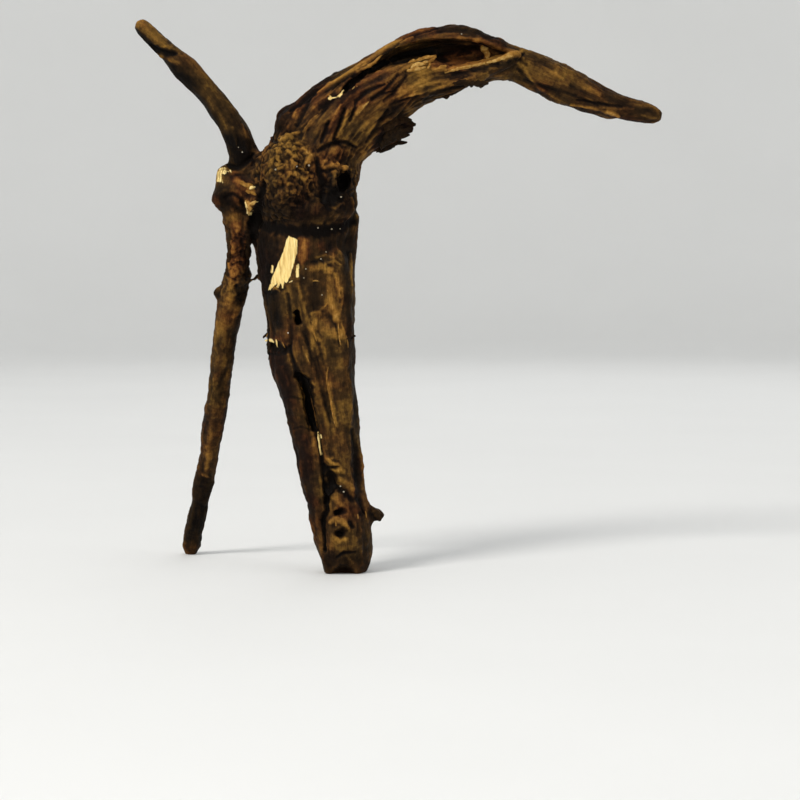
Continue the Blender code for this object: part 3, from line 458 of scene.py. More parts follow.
        ("middle_streak", 0.2, 0.16, ((-39.7, 62.5, 0.8), (-40.9, 50.6, 1), (-42.5, 39.7, 0.9),
            (-43.4, 32.5, 0.6))),
        ("edge_shade", 0.0, -0.24, ((-33.8, 72.5, 0.9), (-35.6, 60, 1), (-37.5, 47.5, 1),
            (-39.7, 35, 0.9))),
        ("upper_patch_a", 0.3, 0.12, ((-33.8, 109.4, 0.5), (-32.5, 108.1, 0.7), (-33.4, 106.6, 0.5))),
        ("upper_patch_d", 0.3, 0.14, ((-35.3, 103.8, 0.4), (-34.4, 101.6, 0.6), (-35.3, 99.4, 0.4))),
        ("upper_patch_e", 0.3, 0.16, ((-34.4, 96.2, 0.4), (-33.1, 95, 0.6), (-34.1, 93.1, 0.4))),
        ("upper_pit_a", -0.4, -0.14, ((-33.8, 105, 0.4), (-31.9, 104.4, 0.5))),
        ("upper_pit_b", -0.35, -0.12, ((-36.2, 101.9, 0.3), (-35.6, 100, 0.4))),
        ("upper_pit_c", -0.3, -0.12, ((-36.9, 93.8, 0.3), (-35.3, 92.5, 0.4), (-33.8, 91.9, 0.3))),
        ("upper_patch_b", 0.3, 0.18, ((-35.9, 96.9, 0.5), (-34.7, 93.8, 0.8), (-35.9, 91.2, 0.6))),
        ("upper_patch_c", 0.3, 0.16, ((-32.8, 85, 0.5), (-33.4, 81.9, 0.7), (-34.7, 80.6, 0.5))),
        ("dark_patch_a", -0.3, -0.16, ((-33.4, 103.8, 0.8), (-32.5, 100.6, 1.1), (-33.8, 98.1, 0.8))),
        ("dark_patch_b", -0.3, -0.24, ((-33.8, 90, 0.6), (-32.5, 86.9, 0.9), (-33.1, 84.4, 0.6))),
        ("pale_spot_a", 0.3, 0.36, ((-44.4, 30.9, 0.5), (-43.1, 30.3, 0.5))),
        ("low_shade", 0.0, -0.5, ((-43.4, 28.1, 2.6), (-45.3, 20, 2.8), (-47.2, 10, 2.8))),
        ("groove_a", -0.4, -0.14, ((-32.5, 106.2, 0.4), (-31.6, 101.9, 0.5), (-32.5, 96.9, 0.4))),
        ("groove_b", -0.15, -0.12, ((-36.9, 96.9, 0.4), (-35.9, 92.5, 0.5), (-37.2, 88.1, 0.4))),
        ("groove_c", -0.15, -0.1, ((-35.3, 81.2, 0.4), (-36.2, 75.6, 0.5), (-37.5, 69.4, 0.4))),
        ("cut_end", 0.0, 0.14, ((-47.2, 8.8, 0.9), (-47.5, 6.9, 0.8))),
    ),
}

# Outlines of the pale new breaks, as x and z in the front view, in mm.
FRESH_BREAKS = {
    "peeled_strip": ((-17.3, 105.6), (-14.4, 104.4), (-14.7, 99.9), (-16.8, 92.7), (-17.8, 90.9),
        (-18.8, 91.6), (-19.1, 89.4), (-19.5, 90.9), (-20.3, 90), (-20.6, 90.9), (-21.9, 89.7),
        (-23.6, 88.6), (-22.8, 91.3), (-20.8, 96.1), (-18.9, 100.8)),
    "thin_strip": ((-14.9, 97.2), (-14, 96.9), (-14.1, 92.8), (-15, 92.5)),
    "fleck": ((-22.7, 96.6), (-21.9, 96.2), (-22.4, 93.8), (-23, 94.1)),
    "torn_patch": ((-24.4, 73.2), (-23.4, 73.8), (-22.5, 73.4), (-21.7, 72.5), (-22.2, 72.2), (-23.1, 72.6),
        (-24.1, 72.6)),
    "knot_break": ((-39.6, 122.5), (-39.9, 123.8), (-39.6, 125.3), (-38.9, 126.2), (-37.9, 126.8),
        (-37.1, 126.6), (-36.3, 125.5), (-37.2, 124.7), (-37.9, 125.1), (-38.1, 124.1), (-37.7, 122.1)),
    "knot_chip": ((-29.4, 121.1), (-28.8, 121.3), (-27.8, 120.9), (-27.9, 120), (-28.9, 120)),
    "knot_scrap": ((-35.7, 125.3), (-35.1, 126.1), (-34.9, 124.8)),
    "knot_tooth": ((-30.6, 116.7), (-29.9, 116.4), (-29.4, 115.2), (-29.5, 113.4), (-29.2, 112.5),
        (-28.6, 113.3), (-29, 112), (-29.7, 111.9), (-30.2, 112.8), (-30.1, 114.7)),
    "knot_tooth_end": ((-28.3, 116.2), (-27.5, 116.4), (-27.8, 115.6)),
    "slit_chip_low": ((-5, 148.1), (-4.7, 149.2), (-4.2, 149.4), (-3.6, 148.6), (-4.1, 147.9)),
    "slit_chip_high": ((-1.7, 148.8), (-1.1, 149.7), (-0.5, 150), (-0.2, 150.8), (0.1, 150.5),
        (-0.4, 149.2), (-1.2, 148.4)),
    "seam_splinter": ((-8.6, 44.4), (-8.2, 44.5), (-7.1, 36.9), (-7.4, 36.7)),
    "seam_fleck": ((-7.5, 43.5), (-7.1, 43.4), (-7, 42.2), (-7.4, 42.2)),
}

# Slivers that stand off the surface, each as: name, how fresh it is, tone, and the places along it as
# x and z in the front view, half width, and height over the surface, in mm. A few short pale slivers
# stand for white glints, and their pale tone is painted highlight.
SLIVERS = (
    ("slit_chip_low", 1, 0.8, ((-4.8, 148.4, 0.35, 0), (-3.8, 148.3, 0.22, 0.2),
        (-2.2, 148.6, 0.18, 0.15))),
    ("slit_chip_high", 1, 0.8, ((-2, 148.7, 0.2, 0.1), (-0.9, 149.5, 0.3, 0.35), (0, 150.8, 0.18, 0.35))),
    ("rim_tooth_low", 0.08, 1.05, ((19.7, 156.7, 0.3, 0.1), (20.9, 157, 0.6, 0.4), (23.1, 157.5, 0.6, 0.5),
        (25.6, 158, 0.2, 0.4))),
    ("rim_tooth_middle", 0.12, 1.1, ((20.6, 157.8, 0.3, 0.1), (22.2, 158.3, 0.7, 0.6),
        (24.1, 158.9, 0.7, 0.8), (26.2, 159.5, 0.3, 0.6))),
    ("rim_tooth_high", 0.1, 0.95, ((19.1, 157.5, 0.4, 0), (20.9, 159.4, 0.7, 0.4), (23.8, 160.2, 0.7, 0.6),
        (26.9, 160.9, 0.6, 0.7), (28.8, 161.4, 0.3, 0.6))),
    ("rim_tooth_inner", 0.1, 0.9, ((25.6, 159.1, 0.4, 0.2), (26.9, 159.7, 0.6, 0.5),
        (28.1, 160.5, 0.5, 0.5), (28.8, 161.1, 0.25, 0.4))),
    ("rim_tooth_end", 0.05, 1.0, ((25.9, 157.3, 0.3, 0.1), (26.6, 158.4, 0.5, 0.5),
        (26.9, 159.4, 0.25, 0.5))),
    ("rim_step", 0.1, 1.0, ((27.5, 157, 0.4, 0), (29.4, 157.5, 0.6, 0.4), (31.2, 158, 0.5, 0.5),
        (32, 158.3, 0.2, 0.4))),
    ("rim_line_low", 0.05, 1.1, ((31.2, 156.2, 0.25, 0), (35.6, 157.4, 0.5, 0.2), (40.3, 158.3, 0.5, 0.2),
        (43.8, 159.1, 0.3, 0.1))),
    ("rim_line_high", 0.06, 1.1, ((43.8, 159.1, 0.3, 0.1), (47.5, 160.1, 0.55, 0.2),
        (50.9, 161.2, 0.6, 0.2), (54.4, 162.4, 0.3, 0.1))),
    ("hollow_chip", 0, 1.05, ((42.8, 164.5, 0.35, 0.1), (43.8, 163.4, 1, 0.4), (44.7, 161.9, 1, 0.4),
        (44.7, 160.5, 0.3, 0.2))),
    ("facet_chip_low", 0, 1.0, ((4.7, 143.6, 0.3, 0), (5.6, 144.8, 0.5, 0.25), (6.6, 145.9, 0.3, 0.2))),
    ("facet_chip_high", 0, 1.05, ((5.9, 145.6, 0.3, 0), (6.9, 146.4, 0.4, 0.25), (7.7, 147.2, 0.2, 0.2))),
    ("slit_edge_chip", 0, 1.1, ((2.2, 150.8, 0.2, 0), (3.3, 151.7, 0.35, 0.2), (4.2, 152, 0.2, 0.2))),
    ("left_crest", 0, 0.75, ((-12.8, 137.8, 0.3, 0), (-11.2, 140, 0.5, 0.2), (-9.7, 141.9, 0.5, 0.2),
        (-8.1, 143.3, 0.2, 0.1))),
    ("torn_patch_left", 0, 0.34, ((-25.3, 73.6, 0.2, 0.3), (-24.6, 74.7, 0.5, 0.5),
        (-23.8, 75.3, 0.3, 0.5))),
    ("torn_patch_stripe", 0.3, 1.0, ((-24.2, 73.9, 0.12, 0.6), (-23.9, 74.7, 0.2, 0.8),
        (-23.6, 75.2, 0.12, 0.7))),
    ("torn_patch_long", 1, 0.8, ((-24.7, 72.8, 0.25, 0.7), (-23.1, 73.1, 0.42, 0.85),
        (-22.2, 72.7, 0.36, 0.65), (-21.7, 72.1, 0.18, 0.5))),
    ("torn_patch_end", 0.25, 1.0, ((-19.3, 72.3, 0.18, 0.1), (-18.9, 71.6, 0.24, 0.35),
        (-18.4, 70.8, 0.14, 0.4))),
    ("torn_patch_short", 1, 0.8, ((-21.2, 73.2, 0.28, 0.1), (-20.9, 72, 0.34, 0.4),
        (-20.6, 70.9, 0.2, 0.45))),
    ("peel_end_left", 1, 0.8, ((-21.2, 91.9, 0.5, 0), (-22.3, 90.2, 0.5, 0.15), (-23.1, 88.9, 0.35, 0.2))),
    ("peel_end_middle", 1, 0.8, ((-19.7, 92.5, 0.5, 0), (-20.3, 90.8, 0.4, 0.15),
        (-20.8, 89.5, 0.3, 0.25))),
    ("peel_end_right", 1, 0.8, ((-18.8, 92.8, 0.45, 0), (-18.9, 90.9, 0.36, 0.15),
        (-19.1, 89.2, 0.22, 0.3))),
    ("peel_end_spur", 1, 0.8, ((-17.8, 91, 0.2, 0), (-16.9, 91.2, 0.17, 0.15), (-16.1, 91.6, 0.12, 0.15))),
    ("knot_tooth", 0, 1.05, ((-30.8, 116.4, 0.3, 0), (-29.5, 115.6, 0.75, 0.3), (-29.2, 114.4, 0.7, 0.4),
        (-29.5, 113, 0.4, 0.3), (-29.6, 112.2, 0.2, 0.2))),
    ("knot_tooth_side", 0, 1.1, ((-29.7, 115.3, 0.4, 0), (-28.4, 115.8, 0.7, 0.3),
        (-27.3, 116.4, 0.3, 0.3))),
    ("knot_patch_a", 0.1, 0.95, ((-32.2, 122.3, 0.4, 0), (-30.6, 121.6, 0.9, 0.2), (-29.1, 120.8, 0.9, 0.3),
        (-27.8, 120.2, 0.4, 0.3))),
    ("knot_patch_b", 0.1, 0.95, ((-30.5, 119.7, 0.3, 0), (-29.4, 119.1, 0.7, 0.3), (-28.3, 119.1, 0.6, 0.4),
        (-27.3, 118.3, 0.25, 0.3))),
    ("knot_chip", 0.7, 0.9, ((-29.4, 120.2, 0.3, 0.5), (-28.7, 120.6, 0.5, 0.8),
        (-27.9, 120.7, 0.35, 0.7))),
    ("seam_splinter", 1, 0.8, ((-8.7, 45.2, 0.15, 0), (-8.1, 42.2, 0.27, 0.3), (-7.7, 39.4, 0.27, 0.35),
        (-7.3, 36.9, 0.18, 0.1))),
    ("flap_a", 0, 0.34, ((12.5, 139.1, 1.2, 0), (16.2, 140.9, 1.4, 0.2), (19.1, 141.9, 1, 0.2),
        (21.2, 141.6, 0.35, 0))),
    ("flap_b", 0, 0.28, ((13.1, 137.2, 1.4, 0), (16.9, 139.1, 1.6, 0), (20, 140.3, 1.3, 0.1),
        (22.5, 140.2, 0.35, 0))),
    ("flap_c", 0, 0.22, ((12.5, 135.3, 1.3, 0), (16.2, 137.2, 1.5, 0.2), (19.4, 138.4, 1.2, 0.2),
        (21.6, 138.8, 0.35, 0))),
    ("flap_d", 0, 0.26, ((11.2, 133.8, 1.2, 0), (15, 135.3, 1.3, 0), (18.1, 136.6, 1.1, 0.1),
        (20.6, 136.9, 0.3, 0))),
    ("flap_e", 0, 0.2, ((10, 132, 0.9, 0), (13.1, 132.7, 1, 0.2), (16.2, 134.4, 0.8, 0.1),
        (18.8, 134.5, 0.5, 0.1), (19.8, 134.7, 0.2, 0))),
    ("under_lump", 0, 0.3, ((33.8, 152.8, 0.4, 0), (36.9, 153.1, 1, 0.1), (40.6, 153.1, 1.3, 0.1),
        (43.1, 152.7, 1.2, 0.1), (45, 153, 0.35, 0))),
    ("under_chip", 0, 0.36, ((21.2, 145.3, 0.6, 0), (23.4, 146.2, 0.8, 0.1), (25.3, 146.7, 0.4, 0))),
    ("under_edge", 0, 0.34, ((27.5, 148.1, 0.4, 0), (30, 148.6, 0.7, 0), (32.5, 149.1, 0.8, 0),
        (35, 150.2, 0.7, 0), (37.2, 151.4, 0.4, 0))),
    ("trunk_edge_upper", 0, 0.24, ((-27.2, 101.9, 0.4, 0), (-27.1, 99.1, 0.7, 0), (-26.8, 96.6, 0.8, 0),
        (-26.6, 94.4, 0.8, 0), (-26, 91.9, 0.5, 0))),
    ("trunk_edge_lower", 0, 0.22, ((-23.8, 81.2, 0.5, 0), (-23.6, 78.1, 0.65, 0), (-23.6, 75, 0.75, 0),
        (-23.6, 72.2, 0.8, 0), (-23.7, 70, 0.8, 0), (-23.3, 67.8, 0.7, 0), (-22.8, 65.6, 0.55, 0),
        (-22.1, 63.4, 0.4, 0))),
    ("nub_lump", 0, 0.36, ((8.4, 19.5, 0.8, 0), (10, 18.8, 1.1, 0.2), (11.1, 17.5, 0.9, 0.1),
        (11.2, 16.2, 0.4, 0))),
    ("edge_spur", 0, 0.2, ((2.2, 73.6, 0.5, 0), (3, 74.1, 0.4, 0.1), (3.6, 74.5, 0.25, 0.15))),
    ("ridge_line_upper", 0, 0.86, ((-5, 64.7, 0.2, 0.1), (-5.4, 61.9, 0.25, 0.22), (-5.3, 59.1, 0.25, 0.24),
        (-4.5, 55.6, 0.25, 0.2))),
    ("ridge_line_lower", 0, 0.94, ((-4.6, 56.6, 0.2, 0.15), (-3.9, 52.7, 0.38, 0.28),
        (-3.4, 49.2, 0.26, 0.26), (-3, 47, 0.22, 0.22), (-2.2, 45.3, 0.15, 0.05))),
    ("crack_edge_right", 0, 0.62, ((-10.6, 58.4, 0.18, 0.05), (-10.2, 54.1, 0.22, 0.15),
        (-9.3, 50.6, 0.22, 0.15), (-8.6, 47.2, 0.22, 0.15), (-8.4, 45, 0.14, 0.05))),
    ("crack_edge_left", 0, 0.85, ((-13.9, 59.5, 0.15, 0), (-13, 57.2, 0.24, 0.1), (-12.5, 55, 0.12, 0))),
    ("short_pale_line", 0, 0.95, ((-12.3, 70, 0.15, 0.05), (-11.7, 68.1, 0.24, 0.25),
        (-11.1, 66.2, 0.13, 0.05))),
    # Painted highlight: a thin pale sliver where the scar's rim shows a white glint.
    ("scar_rim_glint", 0.1, 1.05, ((-11.1, 91.1, 0.13, 0.05), (-9.2, 91.7, 0.25, 0.26),
        (-7.2, 91.3, 0.13, 0.05))),
    ("scar_edge", 0, 0.9, ((-5.1, 89.1, 0.14, 0.05), (-4.9, 86.2, 0.24, 0.24), (-5.1, 84.4, 0.22, 0.22),
        (-6.4, 83.2, 0.16, 0.05))),
    ("right_fibre_high", 0, 0.9, ((-2.6, 92.8, 0.18, 0.05), (-2.1, 90, 0.26, 0.24),
        (-0.9, 88, 0.16, 0.05))),
    ("right_fibre_low", 0, 1.0, ((-1.8, 78.4, 0.16, 0.05), (-1.6, 75, 0.28, 0.26),
        (-1.1, 71.4, 0.15, 0.05))),
    ("right_fibre_edge", 0, 0.95, ((0.6, 75, 0.16, 0.05), (1.1, 72.5, 0.26, 0.26),
        (1.4, 70.5, 0.15, 0.05))),
    ("middle_fibre", 0, 0.9, ((-10, 79.1, 0.16, 0.05), (-9.4, 75.3, 0.25, 0.24), (-8.4, 72.2, 0.15, 0.05))),
    # Painted highlights: two thin pale slivers where the foot shows white glints.
    ("foot_glint_left", 0, 1.0, ((4.2, 18.6, 0.14, 0.05), (4.3, 17.5, 0.24, 0.22),
        (4.4, 16.6, 0.14, 0.05))),
    ("foot_glint_right", 0, 0.95, ((6.6, 19.5, 0.14, 0.05), (6.9, 18.1, 0.24, 0.22),
        (6.9, 16.9, 0.14, 0.05))),
    ("hole_edge_fleck", 0, 1.0, ((-3, 16.4, 0.14, 0.05), (-2.6, 15.5, 0.24, 0.2),
        (-2.7, 14.4, 0.14, 0.05))),
    ("leg_edge_right", 0, 0.26, ((-30.2, 107.5, 0.7, 0), (-29.6, 104.4, 0.9, 0), (-29.7, 100.6, 0.9, 0),
        (-29.9, 97.5, 0.8, 0), (-30.5, 94.4, 0.5, 0))),
    ("leg_edge_left", 0, 0.42, ((-35.9, 108.1, 0.5, 0), (-35.9, 105, 0.9, 0), (-35.9, 101.2, 0.9, 0),
        (-36.2, 97.5, 0.8, 0), (-36.9, 93.8, 0.7, 0), (-38.1, 90, 0.4, 0))),
)

# Where the wood is redder than the rest of its limb, each as: name, and the places along its middle as
# x and z in the front view and half width, in mm.
REDDENED = (
    ("left_strand", ((-21.2, 68.8, 2.4), (-18.1, 56.2, 2.8), (-13.8, 41.2, 2.4), (-10, 22.5, 1.8))),
    ("orange_patch", ((-11.9, 102.8, 1.8), (-12.2, 100, 1.7), (-13.1, 97.8, 1))),
    ("upper_trunk", ((-6.9, 102.5, 1.6), (-3.8, 100.6, 1.6))),
    ("hollow_wall", ((29.4, 159.4, 2.2), (35, 161.2, 2.8), (41.9, 163.1, 2.2))),
    ("flap", ((10, 133.1, 2), (15, 136.2, 3), (20.6, 138.8, 3))),
    ("bud", ((-40, 117.5, 1.2), (-39.4, 115.3, 1))),
    ("knot_top", ((-33.8, 123.8, 1.6), (-30.6, 121.9, 1.8), (-29.4, 119.4, 1.2))),
    ("arch_facet", ((-4.1, 138.8, 1.2), (-2.5, 142.2, 1.4), (-1.2, 145, 1))),
    ("branch_base", ((-8.1, 155.6, 1.4), (9.4, 166.2, 2), (30, 170.6, 1.6))),
    ("leg_top", ((-33.8, 108.1, 2), (-33.1, 100, 2.4), (-34.4, 91.2, 2))),
)

# Beads of dried sap where the wood shows small white glints, each as x and z in the front view and
# radius in mm. Their pale colour is painted highlight.
SAP_GLINT_BEADS = (
    (-10.9, 127.5, 0.34), (-14.7, 127.2, 0.26), (-21.2, 126.2, 0.3), (-0.9, 117.8, 0.32),
    (-8.1, 108.1, 0.26), (-3.8, 107.7, 0.28), (-1.2, 107.8, 0.2), (-7.2, 98.4, 0.24),
    (-11.9, 95.3, 0.22), (-12.5, 92.5, 0.2), (-6.9, 87.2, 0.26), (-17.5, 75.3, 0.24),
    (-1.2, 27.2, 0.24), (-0.2, 25.3, 0.3), (36.6, 168.1, 0.24), (-31.6, 131.6, 0.2),
    (-32.8, 133.1, 0.16), (-5.6, 100.6, 0.22))

# Strokes fade out towards their edge, so they are drawn this much wider than they look, and their
# edge wanders by this share of their width.
STROKE_SPREAD = 1.7
STROKE_WANDER = 0.45
# How much a place faces the front view where a mark starts to show, and where it shows in full: for
# what is carved or broken, and for a change of colour, the marks' painted shade and painted light too.
CARVED_FACING = (0.02, 0.3)
TINTED_FACING = (-0.15, 0.15)
# How much redness a reddened stroke adds.
REDDENING = 0.6

# Breaks that are turning golden again, and the most that a place counts as deep inside them, in mm.
FADED_BREAKS = {"knot_break": 0.02}
# What old wood counts as, in mm inside a break, and where the torn fibres start and are full, in mm.
OLD_WOOD = -1.0
TORN_FADE = (-0.2, 0.4)
# A break only shows where a place counts as facing the front view by more than this, out of 1.
BROKEN_FACING = 0.4
# Torn fibres are raised by this many mm, and rough by this many.
TORN_LIFT = 0.1
TORN_ROUGHNESS = 0.4

# Points of the solid's mesh nearer than this, in mm, become one, and it is smoothed this often to lose
# its facets.
MERGE_DISTANCE = 0.01
RELAX_ROUNDS = 14
# The relief fades in between these heights over the ground, in mm, so that the sole stays flat.
SOLE_FADE = (0.4, 3.0)

# Narrow grooves and wider valleys are found by this many rounds of smoothing. They darken the wood by
# these tones for each mm, up to these depths in mm, and ridges lighten it. The darkening is painted
# shade in the hollows; the lighter ridges are partly wear and partly painted light.
GROOVE_ROUNDS = 4
GROOVE_SHADE = 0.7
GROOVE_DEPTHS = (-0.15, 0.22)
VALLEY_ROUNDS = 24
VALLEY_SHADE = 0.22
VALLEY_DEPTHS = (-0.4, 0.5)
# Tones level off at this distance from the middle one.
MIDDLE_TONE = 0.5
TONE_SPREAD = 0.62

# A sliver has this many sides, rings this far apart in mm, rounded this often, this thickness for its
# width, and a foot sunk this deep in mm. Its width, line and tone vary by these shares.
SLIVER_SIDES = 8
SLIVER_STEP = 0.6
SLIVER_ROUNDING = 2
SLIVER_FLATNESS = 0.45
SLIVER_SINK = 0.15
SLIVER_SWELL = 0.6
SLIVER_WANDER = 0.5
SLIVER_MOTTLE = 0.2
# The scales of the noise that varies them. The shift keeps the line's noise apart from the width's.
SWELL_SCALE = 1.1
WANDER_SCALE = 0.9
MOTTLE_SCALE = 1.3
WANDER_SHIFT = (7, 3, 5)
SLIVER_REDNESS = 0.4
ROOTLET_ROUNDING = 6
FRONTWARDS = (0, -1, 0)
# Where the wood behind a sliver is further off than this, in mm, the sliver spans a gap. A place beside
# the wood is moved this often along its line of sight, to the depth of the wood nearest to it.
SLIVER_JUMP = 3.0
DEPTH_ROUNDS = 4
# How far the middle of a bead of sap stands out, as a share of its radius.
BEAD_RISE = 0.3

# The studio in metres: the curve between floor and wall, its steps, the sides of the whole, and how near
# its points are when they become one.
COVE_RADIUS = 0.45
COVE_STEPS = 9
FLOOR_SIDES = 96
FLOOR_MERGE = 0.0001
LIGHT_AIM = (0.01, 0.0, 0.1)
# The lights, each as: name, place, width, the setting that holds its power, and colour.
LIGHTS = (
    ("key_light", (-0.78, -0.9, 1.12), 0.5, "key_power", (1.0, 0.97, 0.92)),
    ("right_fill", (0.9, -0.5, 0.4), 0.8, "fill_power", (1.0, 1.0, 1.0)),
    ("back_fill", (0.2, 0.95, 0.7), 0.8, "fill_power", (1.0, 1.0, 1.0)),
)
AIR_COLOUR = (1.0, 1.0, 0.99, 1)
AIR_STRENGTH = 0.66


def linear(code):
    """Turns an sRGB hex colour into the linear colour that a shader takes."""
    shares = [int(code[place:place + 2], 16) / 255 for place in (1, 3, 5)]
    return tuple(s / 12.92 if s <= 0.04045 else ((s + 0.055) / 1.055) ** 2.4 for s in shares)


class RootWood(bpy.types.PropertyGroup):
    """Sizes and colours of the wood."""
    cell: FloatProperty(
        name="Surface Cell", description="Size of the cells that the surface is rebuilt from",
        default=0.42 * MM, min=0.2 * MM, unit="LENGTH")
    triangles: IntProperty(
        name="Triangles", description="Triangles that the finished wood keeps", default=198000, min=1000)
    strand_width: FloatProperty(
        name="Strand Width", description="Width of the long strands of the grain",
        default=4.5 * MM, unit="LENGTH")
    fibre_width: FloatProperty(
        name="Fibre Width", description="Width of the fibres that stand out on worn wood",
        default=1.7 * MM, unit="LENGTH")
    nodule_width: FloatProperty(
        name="Nodule Width", description="Width of the small nodules that cover the burl",
        default=1.7 * MM, unit="LENGTH")
    # The darkest colour: dark moist wood, and the painted shade in grooves, holes and the crease under the
    # burl.
    moist_dark_and_shade: FloatVectorProperty(
        name="Dark Wood", description="Colour of the deepest grooves", subtype="COLOR",
        size=3, min=0, max=1, default=linear("#080503"))
    aged_brown: FloatVectorProperty(
        name="Aged Brown", description="Colour of most of the wood", subtype="COLOR",
        size=3, min=0, max=1, default=linear("#3d2b13"))
    worn_gold: FloatVectorProperty(
        name="Worn Gold", description="Colour of the ridges where the bark is gone", subtype="COLOR",
        size=3, min=0, max=1, default=linear("#90692c"))
    fresh_cream: FloatVectorProperty(
        name="Fresh Cream", description="Colour of newly broken wood", subtype="COLOR",
        size=3, min=0, max=1, default=linear("#efd48c"))


class RootStudio(bpy.types.PropertyGroup):
    """Sizes and brightness of the studio."""
    floor_radius: FloatProperty(
        name="Floor Radius", description="Radius of the pale floor up to the foot of its wall",
        default=1.3, unit="LENGTH")
    wall_height: FloatProperty(
        name="Wall Height", description="Height of the pale wall round the floor",
        default=1.9, unit="LENGTH")
    key_power: FloatProperty(
        name="Key Power", description="Power of the main light", default=16.5, unit="POWER")
    fill_power: FloatProperty(
        name="Fill Power", description="Power of each of the two weaker lights", default=1.5, unit="POWER")
    pale_grey: FloatVectorProperty(
        name="Pale Grey", description="Colour of the floor and the wall", subtype="COLOR",
        size=3, min=0, max=1, default=linear("#e4e5e5"))


def fade(values, low, high):
    """Rises smoothly from 0 at low to 1 at high."""
    part = np.clip((values - low) / (high - low), 0, 1)
    return part * part * (3 - 2 * part)


def soft_noise(places, size, seed):
    """Smooth noise of about -1 to 1. The size of its grain is in mm, one number or one for each axis."""
    scaled = places / np.array(size, float) + seed * SEED_SPREAD
    return np.array([noise.noise(place) for place in scaled.tolist()])


def cell_noise(places, size, seed):
    """For the cell at each place: distance to its middle, distance on to the next one, and its own chance."""
    scaled = places / np.array(size, float) + seed * SEED_SPREAD
    found = []
    for place in scaled.tolist():
        distances, middles = noise.voronoi(place)
        found.append((distances[0], distances[1] - distances[0], noise.cell(middles[0] * CHANCE_SCALE)))
    return np.array(found).T


def core_samples(stations, step, rounding):
    """Even steps along a core, rounded at its stations: x, y, z, radius and what else a station says."""
    stations = np.array(stations, float)
    lengths = np.linalg.norm(np.diff(stations[:, :3], axis=0), axis=1)
    reach = np.concatenate(([0.0], np.cumsum(lengths)))
    wanted = np.linspace(0.0, reach[-1], int(reach[-1] / step) + 2)
    samples = np.stack([np.interp(wanted, reach, column) for column in stations.T], axis=1)
    for _ in range(rounding):
        samples[1:-1] = (samples[:-2] + 2 * samples[1:-1] + samples[2:]) / 4
    return samples


def unit(vectors):
    """The vectors' directions, each with a length of 1."""
    return vectors / np.linalg.norm(vectors, axis=-1, keepdims=True)


def limb_grain(places, limb):
    """Places measured from one limb's core as across, deep and along, how near they are, and the swelling."""
    samples = core_samples(limb["core"], CORE_STEP, CORE_ROUNDING)
    core = samples[:, :3]
    runs = unit(np.gradient(core, axis=0))
    lengths = np.concatenate(([0.0], np.cumsum(np.linalg.norm(np.diff(core, axis=0), axis=1))))
    squares = (core ** 2).sum(1) - 2 * places @ core.T
    nearest = squares.argmin(1)
    offset = places - core[nearest]
    run = runs[nearest]
    across = unit(np.cross((0.0, 1.0, 0.0), run))
    deep = np.cross(run, across)
    grain = np.stack((
        limb["side"] + (offset * across).sum(1),
        (offset * deep).sum(1),
        limb["start"] + lengths[nearest] + (offset * run).sum(1)), axis=1)
    distance = np.maximum(np.linalg.norm(offset, axis=1), LIMB_NEAREST)
    nearness = (samples[nearest, 3] / distance) ** LIMB_SHARPNESS
    return grain, nearness, samples[nearest, 4]


def limb_readings(places):
    """The grain's own coordinates in mm, each limb's share of each place, and the swelling in mm."""
    found = [limb_grain(places, limb) for limb in GRAIN_PATHS.values()]
    shares = np.stack([nearness for _, nearness, _ in found], axis=1)
    shares /= shares.sum(1, keepdims=True)
    grain = sum(share[:, None] * limb for share, (limb, _, _) in zip(shares.T, found))
    swelling = sum(share * extra for share, (_, _, extra) in zip(shares.T, found))
    return grain, shares, swelling


def front_view(places):
    """Where each place shows in the front view, as x and z in mm on the plane through the trunk."""
    camera_x, camera_y, camera_z = CAMERA_PLACE
    shrink = -camera_y / (places[:, 1] - camera_y)
    return np.stack((
        camera_x + (places[:, 0] - camera_x) * shrink,
        camera_z + (places[:, 2] - camera_z) * shrink), axis=1)


def facing_front(places, normals, low, high):
    """1 where the surface faces the front view more than high, 0 where it faces it less than low."""
    towards = unit(np.array(CAMERA_PLACE) - places)
    return fade((normals * towards).sum(1), low, high)


def burl_share(places):
    """How much of the surface is nodules: 1 on the burl, 0 away from the swollen parts."""
    ragged = BURL_RAGGEDNESS * soft_noise(places, *PATTERNS["burl_edges"])
    share = np.zeros(len(places))
    for centre, half, strength in BURLS:
        depth = np.linalg.norm((places - np.array(centre)) / np.array(half), axis=1)
        share = np.maximum(share, strength * (1 - fade(depth + ragged, *BURL_FADE)))
    return share


def stroke_reach(view, points, wobble):
    """How strongly a stroke reaches each place of the front view: 1 on its line, 0 at its edge."""
    reach = np.zeros(len(view))
    points = np.array(points)
    widest = points[:, 2].max() * STROKE_SPREAD
    low = points[:, :2].min(0) - widest
    high = points[:, :2].max(0) + widest
    near = np.flatnonzero(((view > low) & (view < high)).all(1))
    for start, end in zip(points, points[1:]):
        step = end[:2] - start[:2]
        part = np.clip((view[near] - start[:2]) @ step / (step @ step), 0, 1)
        distance = np.linalg.norm(view[near] - start[:2] - part[:, None] * step, axis=1)
        width = (start[2] + part * (end[2] - start[2])) * STROKE_SPREAD
        share = np.clip(1 - (distance * wobble[near] / width) ** 2, 0, 1) ** 2
        reach[near] = np.maximum(reach[near], share)
    return reach


